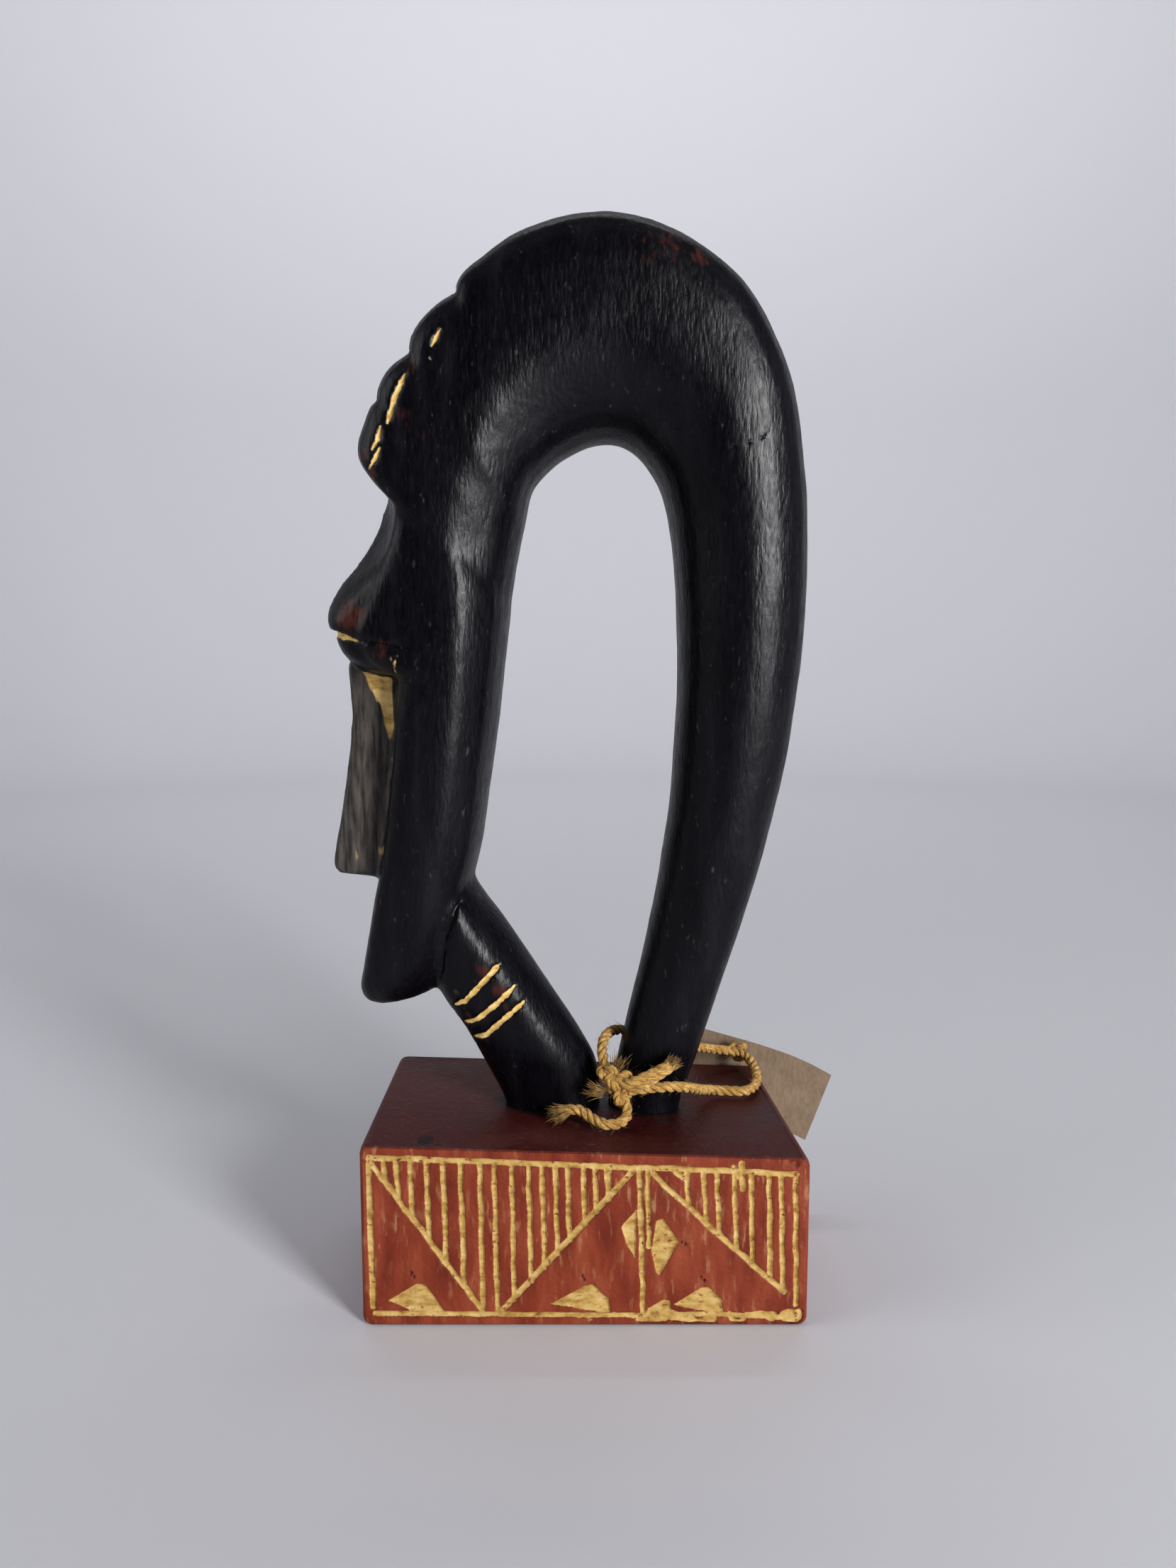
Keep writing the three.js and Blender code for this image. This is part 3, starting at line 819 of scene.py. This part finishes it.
neck_rings = [
    (-66, 142, -44, 160, 17, 0), (-58, 124, -40.5, 149.2, 18.6, 0),
    (-53.5, 108.5, -30, 134.4, 18.2, 0), (-45.2, 95.4, -13.9, 110, 16.4, 0),
    (-38.2, 82, -0.9, 90, 14.2, 0), (-31.9, 69.6, 4.3, 78.8, 12.2, 0),
    (-29.8, 64.5, 5.4, 70, 11.4, 0), (-29, 58, 5.4, 58, 11, 0),
]
# The eyes stand out of the brow like the prow of a boat. Each level has the height at the
# front and how fast it falls backwards, the front at the middle, the front and its distance
# from the middle at the fullest, the corner with the temple likewise, and how far it swells.
eye_levels = [
    (291, 0, -65, -66.4, 8, -64, 20, 0), (286.5, 0, -67, -69.2, 8, -65.6, 22.5, -0.4),
    (281, 0, -69, -71.2, 8.5, -64.4, 24.8, -0.9), (275.7, 0, -70.4, -72.9, 9, -64.8, 25.2, -1.2),
    (269.3, 0, -73.2, -76.2, 9.5, -66, 25.2, -1.0),
    (263, 0.04, -77.2, -80.6, 10, -68.4, 24.8, -0.2),
    (256.6, 0.09, -82, -85.8, 10.5, -71.8, 24.2, 0.9),
    (251.4, 0.14, -84.6, -88.8, 11, -74.8, 23.4, 1.9),
    (247, 0.21, -85.6, -90.4, 11.4, -77.4, 22.6, 2.8),
    (243.4, 0.26, -85.6, -90.6, 11.6, -79.4, 21.8, 3.2),
    (241.2, 0.28, -84.8, -89.8, 11.6, -79.4, 21.4, 3.0),
    (239.6, 0.27, -83.6, -88.4, 11.4, -78.4, 21, 2.5),
    (237, 0.23, -83, -87.6, 11.4, -77.6, 21.2, 2.7),
    (233.2, 0.16, -81.4, -86.1, 11.4, -76.2, 21.4, 2.8),
    (229.8, 0.1, -79, -83.4, 11.4, -73.6, 21.4, 2.0),
    (227.2, 0.05, -75.4, -79.4, 11.2, -70.4, 21.6, 1.4),
    (225.4, 0, -71, -73.4, 11, -66.6, 21.4, 0.6), (224.8, 0, -66.6, -68, 10, -63.6, 20, 0),
]


def smooth_rows(rows, steps):
    """Catmull-Rom through rows of numbers, steps to each span."""
    rows = [np.array(r, float) for r in rows]
    rows = [2 * rows[0] - rows[1]] + rows + [2 * rows[-1] - rows[-2]]
    out = []
    for a, b, c, d in zip(rows, rows[1:], rows[2:], rows[3:]):
        gaps = [max(1e-6, np.linalg.norm((q - p)[:4])) ** 0.5 for p, q in ((a, b), (b, c), (c, d))]
        ta, tb, tc, td = 0, gaps[0], gaps[0] + gaps[1], sum(gaps)
        for t in np.linspace(tb, tc, steps, endpoint=False):
            p = (a * (tb - t) + b * (t - ta)) / (tb - ta)
            q = (b * (tc - t) + c * (t - tb)) / (tc - tb)
            r = (c * (td - t) + d * (t - tc)) / (td - tc)
            pq = (p * (tc - t) + q * (t - ta)) / (tc - ta)
            qr = (q * (td - t) + r * (t - tb)) / (td - tb)
            out.append((pq * (tc - t) + qr * (t - tb)) / (tc - tb))
    out.append(rows[-2])
    return out


def skin_over(name, rings):
    """A closed skin over rings of points in millimetres, capped at both ends."""
    sides = len(rings[0])
    faces = [tuple(range(sides)), tuple(range(len(rings) * sides - sides, len(rings) * sides))[::-1]]
    for i in range(len(rings) - 1):
        for k in range(sides):
            nxt = (k + 1) % sides
            faces.append((i * sides + k, (i + 1) * sides + k, (i + 1) * sides + nxt, i * sides + nxt))
    mesh = bpy.data.meshes.new(name)
    mesh.from_pydata([Vector(point) * MM for ring in rings for point in ring], [], faces)
    skin = bpy.data.objects.new(name, mesh)
    bpy.context.collection.objects.link(skin)
    return skin


def limb_rings(rows, plain, headed, steps):
    rings = []
    for x0, z0, x1, z1, deep, head in smooth_rows(rows, steps):
        half_section = np.array(plain) * (1 - head) + np.array(headed) * head
        section = [*half_section, *[(u, -v) for u, v in half_section[-2:0:-1]]]
        rings.append([(x0 + (x1 - x0) * u, -v * deep, z0 + (z1 - z0) * u) for u, v in section])
    return rings


def eye_rings(levels, steps):
    rings = []
    for height, fall, middle, front, front_y, temple, temple_y, swell in smooth_rows(levels, steps):
        run = np.array((temple - front, temple_y - front_y))
        out = np.array((-run[1], run[0])) / np.linalg.norm(run) * swell
        half_ring = [(middle, 0), (middle * 0.45 + front * 0.55, front_y * 0.5), (front, front_y)]
        for share, full in ((0.2, 0.6), (0.4, 0.95), (0.6, 1), (0.8, 0.7)):
            half_ring.append(np.array((front, front_y)) + run * share + out * full)
        to_cheek = 27.3 - temple_y
        half_ring += [
            (temple, temple_y),
            (temple + 2.2, temple_y + to_cheek * 0.45),
            (temple * 0.5 - 29.5, temple_y + to_cheek * 0.85),
            (-58.5, 27.4),
            (-52, 27.4),
            (-51, 0),
        ]
        ring = [*half_ring, *[(x, -y) for x, y in half_ring[-2:0:-1]]]
        rings.append([(x, -y, height + fall * (front - x)) for x, y in ring])
    return rings


skin_grain = 1.42 * MM
parts = [
    skin_over("crest", limb_rings(crest_rings, loop_section, head_section, 10)),
    skin_over("neck", limb_rings(neck_rings, neck_section, neck_section, 6)),
    skin_over("eyes", eye_rings(eye_levels, 4)),
]

# The nose is a slab set back from the cheeks, cut from a cube and drawn down in three steps.
nose_half = 10.5
nose_rows = [
    (-84.9, 230), (-84, 219), (-83.5, 210), (-84.3, 200), (-86, 187), (-88.4, 174), (-90.6, 163.5),
    (-91.5, 156.5), (-90.4, 152.9),
]
nose_back = -60
bpy.ops.object.select_all(action="DESELECT")
bpy.ops.mesh.primitive_cube_add(size=1)
nose = bpy.context.active_object
bpy.ops.object.mode_set(mode="EDIT")
nose_bm = bmesh.from_edit_mesh(nose.data)
for vert in nose_bm.verts:
    row = nose_rows[0] if vert.co.z > 0 else nose_rows[1]
    vert.co = Vector((row[0] if vert.co.x < 0 else nose_back, nose_half * 2 * vert.co.y, row[1])) * MM
bmesh.update_edit_mesh(nose.data)
bpy.ops.mesh.select_mode(type="FACE")
for row, (front_x, front_z) in enumerate(nose_rows[2:]):
    nose_bm = bmesh.from_edit_mesh(nose.data)
    nose_bm.normal_update()
    lowest = min(nose_bm.faces, key=lambda f: f.calc_center_median().z)
    for face in nose_bm.faces:
        face.select_set(face == lowest)
    bmesh.update_edit_mesh(nose.data)
    bpy.ops.mesh.extrude_region_move()
    nose_bm = bmesh.from_edit_mesh(nose.data)
    back_z = front_z - 2.6 * (row >= 5)
    for vert in (v for v in nose_bm.verts if v.select):
        in_front = vert.co.x < -0.07
        vert.co.x = (front_x if in_front else nose_back) * MM
        vert.co.z = (front_z if in_front else back_z) * MM
    bmesh.update_edit_mesh(nose.data)
bpy.ops.object.mode_set(mode="OBJECT")
apply_modifier("BEVEL", width=2.2 * MM, segments=3, angle_limit=math.radians(50))
parts.append(nose)

bpy.ops.object.select_all(action="DESELECT")
for part in parts:
    part.select_set(True)
bpy.context.view_layer.objects.active = parts[0]
bpy.ops.object.join()
carving = bpy.context.active_object
carving.name = "carving"
turn_faces()
apply_modifier("REMESH", mode="VOXEL", voxel_size=skin_grain)
apply_modifier("SMOOTH", factor=0.5, iterations=3)

# The feet are sawn to the slope of the block's top.
bpy.ops.object.mode_set(mode="EDIT")
bpy.ops.mesh.select_all(action="SELECT")
feet = bmesh.from_edit_mesh(carving.data)
saw_cut = Vector((height_face_end - height_crest_end, 0, block_length)).normalized()
below_top = (0, 0, (block_top(0) - 0.1) * MM)
whole = feet.verts[:] + feet.edges[:] + feet.faces[:]
sawn = bmesh.ops.bisect_plane(feet, geom=whole, plane_co=below_top, plane_no=saw_cut, clear_inner=True)
sawn_edges = [item for item in sawn["geom_cut"] if isinstance(item, bmesh.types.BMEdge)]
bmesh.ops.holes_fill(feet, edges=sawn_edges)
bmesh.update_edit_mesh(carving.data)
bpy.ops.object.mode_set(mode="OBJECT")

side_weights = (1, 0.35, 1)
front_weights = (0.45, 1, 0.45)
edge_weights = (1, 0.06, 1)
# Groups of grooves: half width, depth, how far off each axis counts, whether they are
# painted, and the lines that the gouge follows.
groove_groups = [
    (0.95, 0.9, side_weights, True, [
        [(-47.4, -13, 105.4), (-43.6, -17, 107.2), (-37, -17, 114.6), (-30.1, -17, 121.8)],
        [(-44.2, -12, 98.2), (-39.6, -16, 99.8), (-32.6, -16, 106), (-25.3, -16, 113)],
        [(-41.6, -11, 92.2), (-36.6, -15, 93.6), (-29.4, -15, 100.6), (-22.1, -15, 107)],
    ]),
    (0.55, 0.7, (1, 0.3, 1), True, [
        [(-50, -6, 101), (-46.2, -8, 101.6)],
        [(-46.6, -5, 94.2), (-43, -7, 94.6)],
        [(-43.4, -4, 88), (-40, -6, 88.2)],
    ]),
    (1.15, 1.3, (0.6, 0.1, 1.1), True, [[(-91, -8, 240.6), (-86, -13, 239), (-79.4, -18, 236.8)]]),
    (0.45, 1.0, (1, 0.15, 1), False, [[(-79, -20, 236.9), (-71, -24, 235.6), (-63, -27, 234.8)]]),
    (0.8, 0.8, (1, 0.5, 1), True, [[(-65.2, -25, 226), (-65, -25, 229), (-64, -26, 231.6)]]),
    (0.8, 0.7, side_weights, False, [
        [(-39.5, -16, 149.5), (-46, -18, 142.4), (-50.4, -18, 131), (-52.6, -16, 116)],
    ]),
    (0.8, 1.3, (1, 0.6, 1), False, [
        [(x, -24, z), (x, 0, z)] for x, z in ((-43.4, 352.4), (-59.4, 333), (-70.8, 317.4))
    ]),
    (0.1, 0.4, (1, 0.2, 1), False, [[(48.1, -29, 300.6), (51.9, -29, 301.5), (62, -29, 304.8)]]),
    (0.1, 0.3, (1, 0.2, 1), False, [[(48.6, -29, 301), (48.8, -29, 297)]]),
    (0.7, 0.9, edge_weights, True, [[(-47.6, -27, 338.6), (-49, -27, 336), (-50.5, -27, 333)]]),
    (0.5, 0.7, edge_weights, True, [[(-50.6, -27, 329.6), (-50.9, -27, 328.8)]]),
    (0.85, 1.0, edge_weights, True, [[(-59.6, -27, 324.4), (-63.4, -27, 316.6), (-65.7, -27, 308.6)]]),
    (0.8, 1.0, edge_weights, True, [[(-68.2, -27, 307.6), (-69.2, -27, 303.4), (-71.2, -27, 300.2)]]),
    (0.75, 0.9, edge_weights, True, [[(-68.4, -27, 300.6), (-70.2, -27, 297.2), (-72.3, -27, 294.2)]]),
]
hair_steps = [((-45, 351.5), (-58, 339)), ((-61, 331.5), (-70, 321.5)), ((-72, 315.5), (-77.6, 299))]
hair_strokes = []
for y_groove in (0, -6.5, -12.5):
    for (top_x, top_z), (foot_x, foot_z) in hair_steps:
        hair_strokes.append([(top_x, y_groove, top_z), (foot_x, y_groove, foot_z)])
groove_groups.append((0.75, 1.0, front_weights, True, hair_strokes))
grooves = [(line, *group[:4]) for group in groove_groups for line in group[4]]


def near_line(points, line, weights):
    """Weighted distance in millimetres from each point to a line of points, either side."""
    mirrored = points * np.array([1, -1, 1])
    mirrored[:, 1] = np.where(points[:, 1] > 0, mirrored[:, 1], points[:, 1])
    scaled = mirrored * weights
    best = np.full(len(points), 99.0)
    for a, b in zip(line, line[1:]):
        a = np.array(a) * weights
        b = np.array(b) * weights
        share = np.clip((scaled - a) @ (b - a) / np.dot(b - a, b - a), 0, 1)
        best = np.minimum(best, np.linalg.norm(scaled - a - share[:, None] * (b - a), axis=1))
    return best


for _ in range(2):
    points = vertex_array(carving.data) / MM
    close = np.full(len(points), 99.0)
    for line, width, depth, weights, _painted in grooves:
        close = np.minimum(close, near_line(points, line, weights) - width)
    bpy.ops.object.mode_set(mode="EDIT")
    bpy.ops.mesh.select_mode(type="VERT")
    detail = bmesh.from_edit_mesh(carving.data)
    for vert in detail.verts:
        vert.select_set(bool(close[vert.index] < 0.9))
    detail.select_flush_mode()
    bmesh.update_edit_mesh(carving.data)
    bpy.ops.mesh.subdivide(number_cuts=1)
    bpy.ops.object.mode_set(mode="OBJECT")

points = vertex_array(carving.data) / MM
normals = vertex_array(carving.data, "normal")
paint_in = np.full(len(points), -9.0)
sink = np.zeros(len(points))
folded = points * np.array([1, -1, 1])
folded[:, 1] = np.minimum(folded[:, 1], points[:, 1])
for line, width, depth, weights, painted_in in grooves:
    gap = near_line(points, line, weights)
    run = points @ np.array([0.4, 0.1, 0.5])
    tips = [np.linalg.norm((folded - np.array(tip)) * weights, axis=1) for tip in (line[0], line[-1])]
    taper = np.clip(0.5 + np.minimum(*tips) / 5, 0, 1.15)
    inside = width * taper * (1 + 0.1 * np.sin(run * 1.7) + 0.06 * np.sin(run * 4.1)) - gap
    sunk = np.clip((inside + 0.35) / (width + 0.2), 0, 1)
    sink = np.maximum(sink, depth * sunk * sunk * (3 - 2 * sunk))
    if painted_in:
        paint_in = np.maximum(paint_in, inside)
unevenness = np.array([
    noise.noise(Vector(p) * 0.045) * 0.35 + noise.noise(Vector(p) * 0.16) * 0.1 for p in points
])
points = points + normals * (unevenness - sink)[:, None]
carving.data.vertices.foreach_set("co", (points * MM).ravel())

# Where the stain has worn to red-brown, and where yellow paint is rubbed on: the middle of
# each spot, its reach and its strength.
worn_spots = [
    ((-80.5, -18, 245), 6.5, 1.0), ((-66.5, -27, 281), 3.5, 0.9), ((-68, -27, 272), 3, 0.8),
    ((-75, -26, 298), 3.5, 0.8), ((-72, -27, 291), 3, 0.8), ((-57, -29, 327), 4.5, 0.45),
    ((-60, -29, 311), 4.5, 0.45), ((-52, -29, 304), 3, 0.3), ((-49, -29, 296), 3, 0.3),
    ((27, -28, 366), 11, 0.42), ((38, -25, 362), 4, 0.6), ((-37, -19, 119), 3.2, 0.8),
    ((-31, -17, 112), 3.5, 0.8), ((-29, -17, 106), 3, 0.6), ((-42, -17, 101), 5, 0.4),
    ((-70, -26, 234), 4.5, 0.6), ((-83.6, -10, 220), 3, 0.5), ((-70, -26, 226), 3, 0.4),
    ((-72, -20, 300), 5, 0.5), ((-60, -20, 330), 5, 0.4), ((-40, -16, 88), 5, 0.3),
]
rubbed_paint = [
    ((-69, -11, 207), 3.5, 0.55), ((-68.5, -11, 195), 2.6, 0.45), ((-69.6, -11, 184), 2.6, 0.45),
    ((-70.6, -11, 172), 2.8, 0.5), ((-72, -11, 162), 3.2, 0.6), ((-83, -11, 160), 3.5, 0.4),
    ((-66.6, -24, 231), 2.2, 0.6),
]
nose_patch = [
    (-79, 226.4), (-68, 226.4), (-67.6, 206), (-69.6, 200), (-71.4, 208), (-73, 214),
    (-76.4, 219.6),
]


def spots_on(points, spots):
    level = np.zeros(len(points))
    folded = points.copy()
    folded[:, 1] = -np.abs(folded[:, 1])
    for center, size, strength in spots:
        gap = np.linalg.norm((folded - center) * np.array([1, 0.5, 1]), axis=1) / size
        level = np.maximum(level, strength * np.clip(1.4 - gap, 0, 1))
    return level


on_nose = np.clip(12.5 - np.abs(points[:, 1]), 0, 1) * np.clip((-67 - points[:, 0]) / 2, 0, 1)
patch = np.clip(0.6 + 0.35 * outline_reach(points[:, 0], points[:, 2], nose_patch), 0, 1.1) * on_nose
nose_dust = on_nose * np.clip((232 - points[:, 2]) / 4, 0, 1) * np.clip((points[:, 2] - 148) / 4, 0, 1)
for name, values in (("paint", paint_in), ("worn", spots_on(points, worn_spots)), ("dust", nose_dust),
                     ("rubbed", np.maximum(patch, spots_on(points, rubbed_paint)))):
    layer = carving.data.attributes.new(name, "FLOAT", "POINT")
    layer.data.foreach_set("value", values)
bpy.ops.object.select_all(action="DESELECT")
carving.select_set(True)
bpy.context.view_layer.objects.active = carving
bpy.ops.object.shade_smooth_by_angle(angle=math.radians(48))

black_wood = new_material("black_wood", Roughness=0.4, Specular_IOR_Level=0.28)
place = place_on(black_wood)
pores = noise_on(place, 850, (1, 1, 0.26), 5)
long_grain = noise_on(place, 150, (1, 1, 0.12), 4, 4.0)
stain = ramp(long_grain, [
    (0.3, (0.0015, 0.0013, 0.003)),
    (0.6, (0.0045, 0.004, 0.0065)),
    (0.8, (0.013, 0.011, 0.014)),
])
dusty = ramp(noise_on(place, 600, (1, 1, 0.4), 5, 8.0), [(0.66, 0.0), (0.76, 0.4)])
stain = blend_colours(dusty, stain, (0.13, 0.1, 0.085))
on_nose = kept_value(black_wood, "dust")
brushed = ramp(noise_on(place, 700, (1, 1, 0.12), 5, 14.0), [(0.35, 0.25), (0.7, 1.0)])
brushed = arithmetic("MULTIPLY", brushed, on_nose)
stain = blend_colours(brushed, stain, (0.11, 0.097, 0.085))
worn = kept_value(black_wood, "worn")
scraped = noise_on(place, 520, (1, 1, 0.35), 6, 11.0)
worn = arithmetic("MULTIPLY_ADD", scraped, 1.9, arithmetic("ADD", worn, -1.32))
worn = arithmetic("MULTIPLY", worn, 1.9, clamp=True)
stain = blend_colours(worn, stain, (0.06, 0.017, 0.012))
rubbed = kept_value(black_wood, "rubbed")
brushed_away = noise_on(place, 420, (1, 1, 0.2), 5, 21.0)
rubbed = arithmetic("MULTIPLY_ADD", rubbed, 1.15, -1.15)
rubbed = arithmetic("MULTIPLY_ADD", brushed_away, 1.2, rubbed)
rubbed = arithmetic("MULTIPLY", rubbed, 3.0, clamp=True)
paint_attribute = kept_value(black_wood, "paint")
ragged_edge = arithmetic("MULTIPLY_ADD", noise_on(place, 900, detail=3), 0.7, -0.4)
painted = arithmetic("ADD", paint_attribute, ragged_edge)
painted = arithmetic("MULTIPLY_ADD", painted, 4.0, 0.3, clamp=True)
painted = arithmetic("MAXIMUM", painted, rubbed)
yellow = ramp(noise_on(place, 240, (1, 1, 2), 5, 6.0),
              [(0.3, (0.4, 0.24, 0.07)), (0.5, (0.66, 0.46, 0.17)), (0.75, (0.82, 0.62, 0.3))])
set_shader(black_wood, "Base Color", blend_colours(painted, stain, yellow))
wax = ramp(pores, [(0.35, 0.27), (0.7, 0.43)])
set_shader(black_wood, "Roughness", blend_colours(painted, wax, (0.7, 0.7, 0.7)))
bump_from(black_wood, arithmetic("MULTIPLY_ADD", long_grain, 0.35, pores), 0.0003, 0.75)
carving.data.materials.append(black_wood)
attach(carving, "root")
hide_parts("carved_head_and_loop")


# ---- Paper tag --------------------------------------------------------------------------
# A plain kraft card ticket, punched near one corner, bent a little by its own string. It
# hangs behind the block on the tag knot and swings on it.

tag_width, tag_length, tag_thickness = 30 * MM, 58.5 * MM, 0.35 * MM
hole_from_end, hole_from_edge, hole_radius = 17 * MM, 5 * MM, 2.8 * MM
tag_slope = math.radians(20.4)
bpy.ops.object.select_all(action="DESELECT")
bpy.ops.mesh.primitive_grid_add(x_subdivisions=58, y_subdivisions=30, size=1)
tag = bpy.context.active_object
tag.name = "tag"
bpy.ops.object.mode_set(mode="EDIT")
card = bmesh.from_edit_mesh(tag.data)
for vert in card.verts:
    vert.co.x = (vert.co.x + 0.5) * tag_length - hole_from_end
    vert.co.z = hole_from_edge - (0.5 - vert.co.y) * tag_width
    vert.co.y = 0
punched = []
for face in card.faces:
    middle = face.calc_center_median()
    if math.hypot(middle.x, middle.z) < hole_radius * 0.86:
        punched.append(face)
bmesh.ops.delete(card, geom=punched, context="FACES")
for vert in card.verts:
    gap = math.hypot(vert.co.x, vert.co.z)
    if any(e.is_boundary for e in vert.link_edges) and gap < hole_radius * 1.6:
        vert.co.x *= hole_radius / gap
        vert.co.z *= hole_radius / gap
for vert in card.verts:
    along = vert.co.x / tag_length
    down = (hole_from_edge - vert.co.z) / tag_width
    curl = 1.3 * math.sin(3.3 * along + 0.5) * (1 - 0.6 * down)
    vert.co.z += MM * (curl - 1.6 * max(0, along - 0.35) ** 2 * 6)
    vert.co.y = MM * (0.9 * along * along - 0.5 * down * along + 0.25 * math.sin(5 * along + 2 * down))
bmesh.update_edit_mesh(tag.data)
bpy.ops.object.mode_set(mode="OBJECT")
apply_modifier("SOLIDIFY", thickness=tag_thickness, offset=0)
tag.data.transform(Matrix.Translation(tag_hole_at) @ Matrix.Rotation(tag_slope, 4, "Y"))
turn_faces()
bpy.ops.object.shade_smooth_by_angle(angle=math.radians(40))

kraft = new_material("kraft_paper", Roughness=0.85)
place = place_on(kraft)
kraft_colour = ramp(noise_on(place, 900, (1, 1, 0.4), 6), [
    (0.3, (0.195, 0.144, 0.097)),
    (0.55, (0.235, 0.176, 0.121)),
    (0.8, (0.275, 0.212, 0.15)),
])
scuffs = noise_on(place, 90, detail=5, seed=3.0)
scuffs = ramp(scuffs, [(0.35, (0.84, 0.82, 0.8)), (0.7, (1.0, 1.0, 1.0))])
set_shader(kraft, "Base Color", blend_colours(1.0, kraft_colour, scuffs, "MULTIPLY"))
bump_from(kraft, noise_on(place, 1500, detail=3), 0.0001, 0.5)
tag.data.materials.append(kraft)
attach(tag, "tag")
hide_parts("paper_tag")
